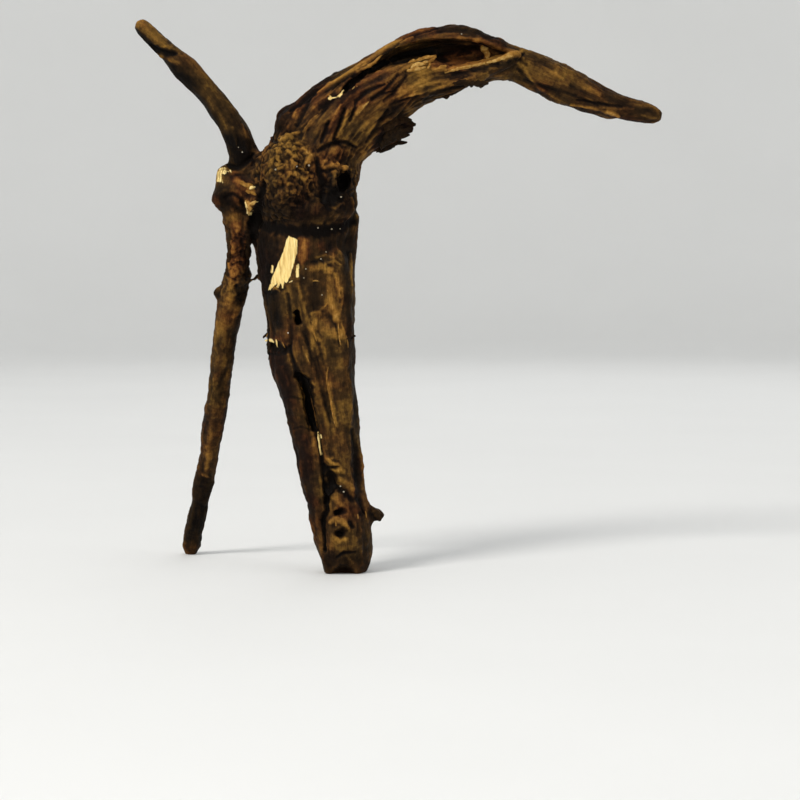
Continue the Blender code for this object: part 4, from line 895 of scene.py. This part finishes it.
def inside_outline(view, outline):
    """Distance in mm inside an outline of the front view, and below 0 outside it."""
    outline = np.array(outline)
    distance = np.full(len(view), 1e3)
    inside = np.zeros(len(view), bool)
    for start, end in zip(outline, np.roll(outline, -1, axis=0)):
        step = end - start
        part = np.clip((view - start) @ step / (step @ step), 0, 1)
        distance = np.minimum(distance, np.linalg.norm(view - start - part[:, None] * step, axis=1))
        crosses = (start[1] > view[:, 1]) != (end[1] > view[:, 1])
        rise = step[1] if step[1] else 1e-9
        side = view[:, 0] < start[0] + (view[:, 1] - start[1]) * step[0] / rise
        inside ^= crosses & side
    return np.where(inside, distance, -distance)


def neighbour_means(values, edges, count):
    """The mean of each point's neighbours."""
    total = np.zeros((count, values.shape[1]))
    for column in range(values.shape[1]):
        total[:, column] = (
            np.bincount(edges[:, 0], values[edges[:, 1], column], count)
            + np.bincount(edges[:, 1], values[edges[:, 0], column], count))
    amount = np.bincount(edges.ravel(), minlength=count)
    return total / amount[:, None]


def hollowness(places, normals, edges, rounds):
    """How far each place lies below the smoothed surface round it, in mm."""
    smooth = places
    for _ in range(rounds):
        smooth = neighbour_means(smooth, edges, len(places))
    return ((smooth - places) * normals).sum(1)


def limb_values(shares, name):
    """One of the limbs' surface values, blended at each place."""
    return shares @ np.array([surface[name] for surface in LIMB_SURFACES.values()])


def grain_relief(places, grain, shares, wood):
    """Height in mm and change of tone of straight wood: strands, fibres, splits and the bark left on it."""
    strand_width = wood.strand_width / MM
    fibre_width = wood.fibre_width / MM
    thread_width = fibre_width / 2
    strands = soft_noise(grain, (strand_width, strand_width, STRAND_LENGTH), seed=3)
    gnarls = soft_noise(grain, *PATTERNS["gnarls"])
    fibres = soft_noise(grain, (fibre_width, fibre_width, FIBRE_LENGTH), seed=5)
    threads = soft_noise(grain, (thread_width, thread_width, THREAD_LENGTH), seed=6)
    pits = soft_noise(places, *PATTERNS["pits"])
    mottles = soft_noise(grain, *PATTERNS["mottles"]) + 0.5 * pits
    # Splits run where their pattern crosses zero, and only in some places.
    splits = np.abs(soft_noise(grain, *PATTERNS["splits"]))
    split_gate = fade(soft_noise(grain, *PATTERNS["split_places"]), -0.05, 0.2)
    crack = (1 - fade(splits, 0.015, 0.07)) * split_gate * limb_values(shares, "chip")
    # Bark is left where its pattern is high, with crumbly edges.
    bark = soft_noise(grain, *PATTERNS["bark"]) + 0.45 * soft_noise(places, *PATTERNS["bark_edges"])
    bark_left = fade(bark, 0.05, 0.2)

    # Chips are cells of the grain, each raised or sunk by its own chance.
    shift = np.stack((1.3 * gnarls, 1.3 * fibres, 2.0 * gnarls), axis=1)
    _, border, chance = cell_noise(grain + shift, *PATTERNS["chips"])
    chip = limb_values(shares, "chip") * fade(border, 0.0, 0.3) * (chance - 0.3)

    # Each pattern counts by its own share of the limb's height and of its change of tone.
    strand = limb_values(shares, "strand")
    height = strand * (0.9 * strands + 0.7 * gnarls - 1.4 * crack)
    height += limb_values(shares, "fibre") * (1.3 * fibres + 0.6 * threads)
    height += limb_values(shares, "bark") * bark_left + limb_values(shares, "flake") * (pits + 0.6 * mottles)
    height += 0.5 * chip
    streak = limb_values(shares, "streak")
    tone = streak * (0.14 * strands + 0.24 * gnarls + 0.26 * fibres + 0.12 * threads - 0.18 * bark_left)
    # The splits' darkening in the tone is painted shade.
    tone += limb_values(shares, "mottle") * 0.2 * mottles - 0.25 * crack + 0.24 * chip
    return height, tone, bark_left


def burl_relief(places, wood):
    """Height in mm and change of tone of the crumbly nodules on the swollen parts.

    Small domes with gaps between them are crossed by worm-like ridges and covered with grit.
    """
    warp = np.stack([soft_noise(places, WARP_SIZE, seed) for seed in (17, 18, 19)], axis=1)
    worms = soft_noise(places + 1.5 * warp, *PATTERNS["worms"])
    middle, border, chance = cell_noise(places + 1.1 * warp, wood.nodule_width / MM, seed=13)
    dome = 1 - 1.5 * middle ** 2
    gap = 1 - fade(border, 0.0, 0.22)
    grit = soft_noise(places, *PATTERNS["grit"])
    height = 0.24 * dome + 0.35 * (chance - 0.5) + 0.42 * worms - 0.15 * gap + 0.16 * grit
    # In the tone, the lighter middles of the domes are painted light and the darker gaps between them painted
    # shade.
    tone = 0.05 * dome + 0.12 * (chance - 0.5) + 0.2 * worms - 0.06 * gap + 0.2 * grit - 0.07
    return height, tone


def relief(places, normals, wood):
    """Height in mm, tone, redness, freshness and grain of the wood at each place."""
    grain, shares, swelling = limb_readings(places)
    burl = burl_share(places)
    bend = np.stack((
        soft_noise(places, BEND_SIZE, seed=1),
        soft_noise(places, BEND_SIZE, seed=2),
        np.zeros(len(places))), axis=1)
    straight_height, straight_tone, bark_left = grain_relief(places, grain + BEND_REACH * bend, shares, wood)
    burl_height, burl_tone = burl_relief(places, wood)
    waves = soft_noise(places, *PATTERNS["waves"])
    height = swelling + straight_height * (1 - burl) + burl_height * burl + WAVE_HEIGHT * waves
    tone = limb_values(shares, "tone") + straight_tone * (1 - burl) + burl_tone * burl
    tone = tone + WAVE_TONE * waves
    red_places = soft_noise(places, *PATTERNS["red_places"])
    redness = limb_values(shares, "redness") + RED_VARIETY * red_places + BARK_REDNESS * bark_left

    view = front_view(places)
    front = facing_front(places, normals, *CARVED_FACING)
    seen = facing_front(places, normals, *TINTED_FACING)
    wobble = 1 + STROKE_WANDER * soft_noise(places, *PATTERNS["stroke_edges"])
    # Marks carve the wood; their tone holds painted shade and painted light besides the wood's colour.
    for marks in CARVED_AND_PAINTED_LIGHT_MARKS.values():
        for _, rise, change, points in marks:
            reach = stroke_reach(view, points, wobble)
            height += rise * reach * front
            tone += change * reach * seen
    for _, points in REDDENED:
        redness += REDDENING * stroke_reach(view, points, wobble) * seen

    fresh = np.full(len(places), OLD_WOOD)
    for name, outline in FRESH_BREAKS.items():
        depth = inside_outline(view, outline)
        fresh = np.maximum(fresh, np.minimum(depth, FADED_BREAKS.get(name, depth.max())))
    fresh = np.where(front > BROKEN_FACING, fresh, OLD_WOOD)
    torn = fade(fresh, *TORN_FADE)
    height += torn * (TORN_ROUGHNESS * soft_noise(grain, *PATTERNS["torn_fibres"]) + TORN_LIFT)

    above_sole = fade(places[:, 2], *SOLE_FADE)
    freshness = np.clip(0.5 + fresh / 2, 0, 1)
    return height * above_sole, tone, redness, freshness, grain


def mesh_arrays(mesh):
    """A mesh's places and normals in mm, and its edges, as arrays."""
    places = np.zeros(len(mesh.vertices) * 3)
    normals = np.zeros(len(mesh.vertices) * 3)
    edges = np.zeros(len(mesh.edges) * 2, int)
    mesh.vertices.foreach_get("co", places)
    mesh.vertices.foreach_get("normal", normals)
    mesh.edges.foreach_get("vertices", edges)
    return places.reshape(-1, 3) / MM, normals.reshape(-1, 3), edges.reshape(-1, 2)


def put_places(mesh, places):
    """Moves a mesh's vertices to places given in mm."""
    mesh.vertices.foreach_set("co", (places * MM).ravel())
    mesh.update()


def put_attribute(mesh, name, values):
    """Stores one number or one vector for each vertex."""
    kind = "FLOAT_VECTOR" if values.ndim == 2 else "FLOAT"
    layer = mesh.attributes.new(name, kind, "POINT")
    layer.data.foreach_set("vector" if values.ndim == 2 else "value", values.astype(np.float32).ravel())


def finished_mesh(shell, name):
    """A new mesh of what was built in a shell."""
    mesh = bpy.data.meshes.new(name)
    shell.to_mesh(mesh)
    shell.free()
    return mesh


def link(owner):
    """Puts a new object into the scene."""
    bpy.context.scene.collection.objects.link(owner)
    return owner


def settle_modifiers(owner):
    """Replaces an object's mesh by the one that its modifiers make."""
    graph = bpy.context.evaluated_depsgraph_get()
    mesh = bpy.data.meshes.new_from_object(owner.evaluated_get(graph))
    owner.modifiers.clear()
    old = owner.data
    owner.data = mesh
    bpy.data.meshes.remove(old)
    return mesh


def rebuilt_copy(node, name, cell):
    """A copy of a node's solid with even small faces, rid of its coarse facets."""
    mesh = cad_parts[node].data.copy()
    mesh.name = name
    mesh.materials.clear()
    shell = bmesh.new()
    shell.from_mesh(mesh)
    bmesh.ops.remove_doubles(shell, verts=shell.verts, dist=MERGE_DISTANCE * MM)
    shell.to_mesh(mesh)
    shell.free()
    owner = link(bpy.data.objects.new(name, mesh))
    remesh = owner.modifiers.new("rebuild", "REMESH")
    remesh.mode = "VOXEL"
    remesh.voxel_size = cell
    relax = owner.modifiers.new("relax", "SMOOTH")
    relax.factor = 0.5
    relax.iterations = RELAX_ROUNDS
    settle_modifiers(owner)
    return owner


def thin_out(owner, triangles):
    """Lowers the number of triangles, fewer where the surface is plain."""
    count = sum(len(face.vertices) - 2 for face in owner.data.polygons)
    if count > triangles:
        thin = owner.modifiers.new("thin", "DECIMATE")
        thin.ratio = triangles / count
        settle_modifiers(owner)


def add_node(tree, kind, inputs=None, **settings):
    """Adds a node with its settings. An input is a value or another node's output."""
    node = tree.nodes.new(kind)
    for name, value in settings.items():
        setattr(node, name, value)
    for name, value in (inputs or {}).items():
        if isinstance(value, bpy.types.NodeSocket):
            tree.links.new(value, node.inputs[name])
        else:
            node.inputs[name].default_value = value
    return node


def set_ramp(node, stops):
    """Gives a colour ramp its stops, each a place from 0 to 1 and a linear colour."""
    ramp = node.color_ramp
    while len(ramp.elements) < len(stops):
        ramp.elements.new(0.5)
    for element, (place, colour) in zip(ramp.elements, stops):
        element.position = place
        element.color = (*colour, 1)


def mixed(first, second, share):
    """The colour that lies a share of the way from the first to the second."""
    return tuple(a + (b - a) * share for a, b in zip(first, second))


def new_material(name):
    """A new material and its empty node tree."""
    material = bpy.data.materials.new(name)
    material.use_nodes = True
    material.node_tree.nodes.clear()
    return material, material.node_tree


def weathered_root_wood(wood):
    """Root wood that lay in damp ground and dried: dark, uneven brown with worn golden ridges.

    The tone that it reads holds painted shade and painted light: grooves, cracks and hollows are darkest
    from painted shade, and the sides towards the lamp lighter from painted light. The grain shows as fine
    streaks along each limb, and old sap leaves a low, patchy gloss. New breaks are pale, dry and stringy.
    """
    material, tree = new_material("weathered_root_wood")
    grain = add_node(tree, "ShaderNodeAttribute", attribute_name="grain").outputs["Vector"]
    tone = add_node(tree, "ShaderNodeAttribute", attribute_name="tone").outputs["Fac"]
    redness = add_node(tree, "ShaderNodeAttribute", attribute_name="redness").outputs["Fac"]
    fresh = add_node(tree, "ShaderNodeAttribute", attribute_name="fresh").outputs["Fac"]
    spot = add_node(tree, "ShaderNodeTexCoord").outputs["Object"]

    # Fibres of root wood are about 0.05 mm wide. They are drawn 0.4 mm wide so that they show.
    fibre_width = 0.4
    fibre_length = 5.0
    fibre_scale = (1 / fibre_width, 1 / fibre_width, 1 / fibre_length)
    along = add_node(tree, "ShaderNodeMapping", {
        "Vector": grain, "Scale": fibre_scale}, vector_type="POINT").outputs["Vector"]
    streaks = add_node(tree, "ShaderNodeTexNoise", {
        "Vector": along, "Scale": 1.0, "Detail": 3.0, "Roughness": 0.6}).outputs["Fac"]
    speck_size = 0.9 * MM
    specks = add_node(tree, "ShaderNodeTexNoise", {
        "Vector": spot, "Scale": 1 / speck_size, "Detail": 3.0, "Roughness": 0.65}).outputs["Fac"]
    stain_size = 6.0 * MM
    stains = add_node(tree, "ShaderNodeTexNoise", {
        "Vector": spot, "Scale": 1 / stain_size, "Detail": 2.0}).outputs["Fac"]

    # Streaks and specks lighten or darken the tone by up to 0.18 and 0.25. A tone of 1.25 is the ramps' end.
    streak_change = add_node(tree, "ShaderNodeMath", {
        0: streaks, 1: 0.36, 2: -0.18}, operation="MULTIPLY_ADD")
    speck_change = add_node(tree, "ShaderNodeMath", {
        0: specks, 1: 0.5, 2: -0.25}, operation="MULTIPLY_ADD")
    shade = add_node(tree, "ShaderNodeMath", {
        0: tone, 1: streak_change.outputs[0]}, operation="ADD")
    shade = add_node(tree, "ShaderNodeMath", {
        0: shade.outputs[0], 1: speck_change.outputs[0]}, operation="ADD")
    shade = add_node(tree, "ShaderNodeMath", {0: shade.outputs[0], 1: 1.25}, operation="DIVIDE")

    # Low tones, where the painted shade lies, run to the darkest colour; high tones, where the painted light
    # lies, run to worn gold and past it.
    olive = add_node(tree, "ShaderNodeValToRGB", {"Fac": shade.outputs[0]})
    set_ramp(olive, (
        (0.04, wood.moist_dark_and_shade), (0.27, mixed(wood.moist_dark_and_shade, wood.aged_brown, 0.36)),
        (0.45, wood.aged_brown), (0.62, mixed(wood.aged_brown, wood.worn_gold, 0.36)),
        (0.80, wood.worn_gold), (1.0, mixed(wood.worn_gold, wood.fresh_cream, 0.45))))
    rust = add_node(tree, "ShaderNodeValToRGB", {"Fac": shade.outputs[0]})
    set_ramp(rust, (
        (0.04, linear("#090402")), (0.27, linear("#1c0f08")), (0.45, linear("#3c2210")),
        (0.62, linear("#5e381a")), (0.80, linear("#8f602a")), (1.0, linear("#b98a44"))))
    # Stained places of the redder wood turn from olive to rust.
    redden = add_node(tree, "ShaderNodeMath", {0: redness, 1: stains}, operation="MULTIPLY")
    redden = add_node(tree, "ShaderNodeMapRange", {
        "Value": redden.outputs[0], "From Min": 0.1, "From Max": 0.4})
    aged = add_node(tree, "ShaderNodeMix", {
        0: redden.outputs[0], 6: olive.outputs["Color"], 7: rust.outputs["Color"]}, data_type="RGBA")

    # New breaks are cream with darker fibres, and their edge is ragged along the streaks.
    cream = add_node(tree, "ShaderNodeValToRGB", {"Fac": streaks})
    set_ramp(cream, (
        (0.28, linear("#a87c3e")), (0.42, mixed(linear("#c49a54"), wood.fresh_cream, 0.5)),
        (0.55, wood.fresh_cream), (0.75, linear("#f5e2ac"))))
    ragged = add_node(tree, "ShaderNodeMath", {0: streaks, 1: 0.35, 2: -0.175}, operation="MULTIPLY_ADD")
    torn = add_node(tree, "ShaderNodeMath", {0: fresh, 1: ragged.outputs[0]}, operation="ADD")
    torn = add_node(tree, "ShaderNodeMapRange", {
        "Value": torn.outputs[0], "From Min": 0.46, "From Max": 0.54})
    colour = add_node(tree, "ShaderNodeMix", {
        0: torn.outputs[0], 6: aged.outputs[2], 7: cream.outputs["Color"]}, data_type="RGBA")

    # Sap in the stains makes the old wood smoother. New breaks are evenly rough.
    sap = add_node(tree, "ShaderNodeMapRange", {
        "Value": stains, "From Min": 0.35, "From Max": 0.65, "To Min": 0.6, "To Max": 0.82})
    gloss = add_node(tree, "ShaderNodeMix", {
        0: torn.outputs[0], 2: sap.outputs[0], 3: 0.8}, data_type="FLOAT")
    ridges = add_node(tree, "ShaderNodeMath", {0: streaks, 1: specks}, operation="ADD")
    bump = add_node(tree, "ShaderNodeBump", {
        "Height": ridges.outputs[0], "Strength": 0.55, "Distance": 0.25 * MM})
    surface = add_node(tree, "ShaderNodeBsdfPrincipled", {
        "Base Color": colour.outputs[2], "Roughness": gloss.outputs[0], "IOR": 1.5,
        "Specular IOR Level": 0.06, "Normal": bump.outputs["Normal"]})
    add_node(tree, "ShaderNodeOutputMaterial", {"Surface": surface.outputs["BSDF"]})
    return material


def dried_sap():
    """Hard clear beads of sap, glossy enough to catch the lamps as white points. Their pale colour is painted
    highlight, so they show as white points under any light as well.
    """
    material, tree = new_material("dried_sap")
    spot = add_node(tree, "ShaderNodeTexCoord").outputs["Object"]
    cloud_size = 2.0 * MM
    cloud = add_node(tree, "ShaderNodeTexNoise", {"Vector": spot, "Scale": 1 / cloud_size})
    # Painted highlight: the pale tint makes white points under any light.
    tint = add_node(tree, "ShaderNodeValToRGB", {"Fac": cloud.outputs["Fac"]})
    set_ramp(tint, ((0.35, linear("#8a7a5c")), (0.65, linear("#cfc7b4"))))
    surface = add_node(tree, "ShaderNodeBsdfPrincipled", {
        "Base Color": tint.outputs["Color"], "Roughness": 0.15, "IOR": 1.54})
    add_node(tree, "ShaderNodeOutputMaterial", {"Surface": surface.outputs["BSDF"]})
    return material


def pale_studio_paint(studio):
    """Matt pale paint: even, with a faint mottle so that it doesn't look like empty space."""
    material, tree = new_material("pale_studio_paint")
    spot = add_node(tree, "ShaderNodeTexCoord").outputs["Object"]
    mottle = add_node(tree, "ShaderNodeTexNoise", {"Vector": spot, "Scale": 9.0, "Detail": 4.0})
    tint = add_node(tree, "ShaderNodeValToRGB", {"Fac": mottle.outputs["Fac"]})
    set_ramp(tint, ((0.3, mixed(studio.pale_grey, (0, 0, 0), 0.02)), (0.7, studio.pale_grey)))
    surface = add_node(tree, "ShaderNodeBsdfPrincipled", {
        "Base Color": tint.outputs["Color"], "Roughness": 0.9})
    add_node(tree, "ShaderNodeOutputMaterial", {"Surface": surface.outputs["BSDF"]})
    return material


class DRYROOT_OT_carve_wood(bpy.types.Operator):
    """Builds the root's wood over its solid: grain, cracks, nodules and worn ridges"""
    bl_idname = "dry_root.carve_wood"
    bl_label = "Carve Wood"

    def execute(self, context):
        wood = context.scene.root_wood
        owner = rebuilt_copy(NODE, "root_wood", wood.cell)
        places, normals, _ = mesh_arrays(owner.data)
        height, tone, redness, fresh, grain = relief(places, normals, wood)
        places = places + normals * height[:, None]
        places[:, 2] = np.maximum(places[:, 2], 0.0)
        put_places(owner.data, places)
        places, normals, edges = mesh_arrays(owner.data)
        # Painted shade in grooves and valleys, and lighter ridges, partly wear and partly painted light.
        grooves = np.clip(hollowness(places, normals, edges, GROOVE_ROUNDS), *GROOVE_DEPTHS)
        valleys = np.clip(hollowness(places, normals, edges, VALLEY_ROUNDS), *VALLEY_DEPTHS)
        tone = tone - GROOVE_SHADE * grooves - VALLEY_SHADE * valleys
        tone = MIDDLE_TONE + TONE_SPREAD * np.tanh((tone - MIDDLE_TONE) / TONE_SPREAD)
        for name, values in (("tone", tone), ("redness", redness), ("fresh", fresh), ("grain", grain)):
            put_attribute(owner.data, name, values)
        thin_out(owner, wood.triangles)
        owner.data.materials.append(weathered_root_wood(wood))
        owner.data.shade_smooth()
        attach(owner, BODY)
        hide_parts(NODE)
        return {"FINISHED"}


def surface_tree(mesh):
    """A mesh's faces in mm, ready for lines of sight."""
    places, _, _ = mesh_arrays(mesh)
    faces = [face.vertices[:] for face in mesh.polygons]
    return BVHTree.FromPolygons([Vector(place) for place in places], faces)


def surface_place(wood_tree, x, z, depth):
    """Where a line of sight meets the wood, and which way the wood faces.

    Beside the wood, or over a gap, it takes the depth of the nearest wood.
    """
    eye = Vector(CAMERA_PLACE)
    aim = Vector((x, 0, z)) - eye
    place, normal, _, _ = wood_tree.ray_cast(eye, aim)
    if place is None or (depth is not None and abs(place.y - depth) > SLIVER_JUMP):
        depth = depth or 0
        for _ in range(DEPTH_ROUNDS):
            guess = eye + aim * ((depth - eye.y) / aim.y)
            depth = wood_tree.find_nearest(guess)[0].y
        return eye + aim * ((depth - eye.y) / aim.y), -aim.normalized()
    return place, normal


def add_sliver(shell, wood_tree, stations, values):
    """A thin splinter of wood along the stations, closed at both ends."""
    places = []
    facings = []
    depth = None
    for x, z, _, _ in stations:
        place, facing = surface_place(wood_tree, x, z, depth)
        depth = place.y
        places.append(place)
        facings.append(facing)
    facing = sum(facings, Vector()).normalized()
    core = [
        (*(place + facing * (station[3] - SLIVER_SINK)), station[2])
        for place, station in zip(places, stations)]
    samples = core_samples(core, SLIVER_STEP, SLIVER_ROUNDING)
    add_tube(shell, samples, facing, SLIVER_FLATNESS, values)


def add_tube(shell, samples, facing, flatness, values):
    """A ragged tube along the samples, closed at both ends. Facing is the side that it is flattened to."""
    runs = np.gradient(samples[:, :3], axis=0)
    rings = []
    for number, (sample, run) in enumerate(zip(samples, runs)):
        place = Vector(sample[:3])
        run = Vector(run).normalized()
        side = run.cross(facing).normalized()
        flat = side.cross(run)
        half_width = sample[3] * (1 + SLIVER_SWELL * noise.noise(place * SWELL_SCALE))
        wander = noise.noise(place * WANDER_SCALE + Vector(WANDER_SHIFT))
        place += side * SLIVER_WANDER * sample[3] * wander
        turn = Matrix((side * half_width, flat * half_width * flatness, run)).transposed().to_4x4()
        ring = bmesh.ops.create_circle(
            shell, cap_ends=number in (0, len(samples) - 1), segments=SLIVER_SIDES, radius=1,
            matrix=Matrix.Translation(place) @ turn)
        rings.append(ring["verts"])
    for low, high in zip(rings, rings[1:]):
        nearby = {edge for point in low + high for edge in point.link_edges}
        loops = [edge for edge in nearby if edge.is_boundary or edge.is_wire]
        bmesh.ops.bridge_loops(shell, edges=loops)
    for name, value in values.items():
        layer = shell.verts.layers.float[name]
        mottle = SLIVER_MOTTLE if name == "tone" else 0
        for point in [point for ring in rings for point in ring]:
            point[layer] = value + mottle * noise.noise(point.co * MOTTLE_SCALE)


def area_light(name, place, aim, size, power, colour):
    """A round soft light that points at its aim and doesn't show itself."""
    lamp = bpy.data.lights.new(name, "AREA")
    lamp.shape = "DISK"
    lamp.size = size
    lamp.energy = power
    lamp.color = colour
    owner = link(bpy.data.objects.new(name, lamp))
    owner.location = place
    owner.rotation_euler = (Vector(aim) - Vector(place)).to_track_quat("-Z", "Y").to_euler()
    owner.visible_camera = False
    return owner


class DRYROOT_OT_raise_slivers(bpy.types.Operator):
    """Adds the torn slivers that stand off the wood, and the thin rootlet"""
    bl_idname = "dry_root.raise_slivers"
    bl_label = "Raise Slivers"

    def execute(self, context):
        wood_mesh = bpy.data.objects["root_wood"].data
        wood_tree = surface_tree(wood_mesh)
        shell = bmesh.new()
        for name in ("fresh", "tone", "redness"):
            shell.verts.layers.float.new(name)
        for _, fresh, tone, stations in SLIVERS:
            values = {"fresh": fresh, "tone": tone, "redness": SLIVER_REDNESS}
            add_sliver(shell, wood_tree, stations, values)
        rootlet = core_samples(ROOTLET, SLIVER_STEP, ROOTLET_ROUNDING)
        values = {"fresh": 0.0, "tone": 0.2, "redness": 0.3}
        add_tube(shell, rootlet, Vector(FRONTWARDS), 1.0, values)
        bmesh.ops.recalc_face_normals(shell, faces=shell.faces)
        bmesh.ops.triangulate(shell, faces=shell.faces)
        mesh = finished_mesh(shell, "torn_slivers")
        places = np.array([point.co for point in mesh.vertices])
        grain, _, _ = limb_readings(places)
        put_places(mesh, places)
        put_attribute(mesh, "grain", grain)
        mesh.materials.append(wood_mesh.materials[0])
        mesh.shade_smooth()
        owner = link(bpy.data.objects.new("torn_slivers", mesh))
        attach(owner, BODY)
        return {"FINISHED"}


class DRYROOT_OT_set_sap_beads(bpy.types.Operator):
    """Sets small pale beads of dried sap on the wood, most of them round the burl, as its white glints: their
    pale colour is painted highlight
    """
    bl_idname = "dry_root.set_sap_beads"
    bl_label = "Set Sap Beads"

    def execute(self, context):
        wood_tree = surface_tree(bpy.data.objects["root_wood"].data)
        shell = bmesh.new()
        for x, z, radius in SAP_GLINT_BEADS:
            place, facing = surface_place(wood_tree, x, z, None)
            turn = Matrix.Translation(place + facing * BEAD_RISE * radius)
            bmesh.ops.create_icosphere(shell, subdivisions=2, radius=radius, matrix=turn)
        mesh = finished_mesh(shell, "sap_beads")
        put_places(mesh, np.array([point.co for point in mesh.vertices]))
        mesh.materials.append(dried_sap())
        mesh.shade_smooth()
        owner = link(bpy.data.objects.new("sap_beads", mesh))
        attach(owner, BODY)
        return {"FINISHED"}


class DRYROOT_OT_build_studio(bpy.types.Operator):
    """Builds the pale floor with its round wall, the lights and the camera"""
    bl_idname = "dry_root.build_studio"
    bl_label = "Build Studio"

    def execute(self, context):
        studio = context.scene.root_studio
        self.build_floor(studio)
        self.build_lights(context.scene, studio)
        self.build_camera(context.scene)
        return {"FINISHED"}

    def build_floor(self, studio):
        """Spins a profile of floor, rounded corner and wall into one pale shell."""
        corner = [
            (studio.floor_radius + COVE_RADIUS * math.sin(angle), 0, COVE_RADIUS * (1 - math.cos(angle)))
            for angle in np.linspace(0, math.pi / 2, COVE_STEPS)]
        wall_top = (studio.floor_radius + COVE_RADIUS, 0, studio.wall_height)
        profile = [(0, 0, 0)] + corner + [wall_top]
        shell = bmesh.new()
        points = [shell.verts.new(place) for place in profile]
        lines = [shell.edges.new(pair) for pair in zip(points, points[1:])]
        bmesh.ops.spin(
            shell, geom=points + lines, axis=(0, 0, 1), cent=(0, 0, 0), angle=math.tau,
            steps=FLOOR_SIDES, use_merge=True)
        bmesh.ops.remove_doubles(shell, verts=shell.verts, dist=FLOOR_MERGE)
        bmesh.ops.recalc_face_normals(shell, faces=shell.faces)
        mesh = finished_mesh(shell, "studio_floor")
        mesh.shade_smooth()
        mesh.materials.append(pale_studio_paint(studio))
        link(bpy.data.objects.new("studio_floor", mesh))

    def build_lights(self, scene, studio):
        """Sets up the lamps and the even light all round."""
        for name, place, size, power, colour in LIGHTS:
            area_light(name, place, LIGHT_AIM, size, getattr(studio, power), colour)
        world = bpy.data.worlds.new("studio_air")
        world.use_nodes = True
        air = world.node_tree.nodes["Background"]
        air.inputs["Color"].default_value = AIR_COLOUR
        air.inputs["Strength"].default_value = AIR_STRENGTH
        scene.world = world
        scene.view_settings.view_transform = "Standard"

    def build_camera(self, scene):
        """Sets the camera where the front view is seen from."""
        camera = bpy.data.cameras.new("front_camera")
        camera.sensor_width = SENSOR_WIDTH
        camera.lens = CAMERA_LENS
        camera.clip_start = 0.05
        camera.clip_end = 20.0
        owner = link(bpy.data.objects.new("front_camera", camera))
        owner.location = Vector(CAMERA_PLACE) * MM
        owner.rotation_euler = (math.radians(90 + CAMERA_PITCH), 0, 0)
        scene.camera = owner


class DRYROOT_PT_sidebar(bpy.types.Panel):
    """Lists the steps that build the root"""
    bl_idname = "DRYROOT_PT_sidebar"
    bl_label = "Dry Root"
    bl_space_type = "VIEW_3D"
    bl_region_type = "UI"
    bl_category = "Dry Root"

    def draw(self, context):
        for settings in (context.scene.root_wood, context.scene.root_studio):
            box = self.layout.box()
            for name in settings.__annotations__:
                box.prop(settings, name)
        for step in STEPS:
            self.layout.operator(step.bl_idname)


# The operators in the order in which they run.
STEPS = (DRYROOT_OT_carve_wood, DRYROOT_OT_raise_slivers, DRYROOT_OT_set_sap_beads, DRYROOT_OT_build_studio)
CLASSES = (RootWood, RootStudio, *STEPS, DRYROOT_PT_sidebar)


def register():
    """Adds the settings, the operators and the panel to Blender."""
    for kind in CLASSES:
        bpy.utils.register_class(kind)
    bpy.types.Scene.root_wood = PointerProperty(type=RootWood)
    bpy.types.Scene.root_studio = PointerProperty(type=RootStudio)


def unregister():
    """Takes them away again."""
    del bpy.types.Scene.root_studio
    del bpy.types.Scene.root_wood
    for kind in reversed(CLASSES):
        bpy.utils.unregister_class(kind)


def main():
    """Builds every piece in order."""
    register()
    bpy.ops.dry_root.carve_wood()
    bpy.ops.dry_root.raise_slivers()
    bpy.ops.dry_root.set_sap_beads()
    bpy.ops.dry_root.build_studio()


if __name__ == "__main__":
    main()
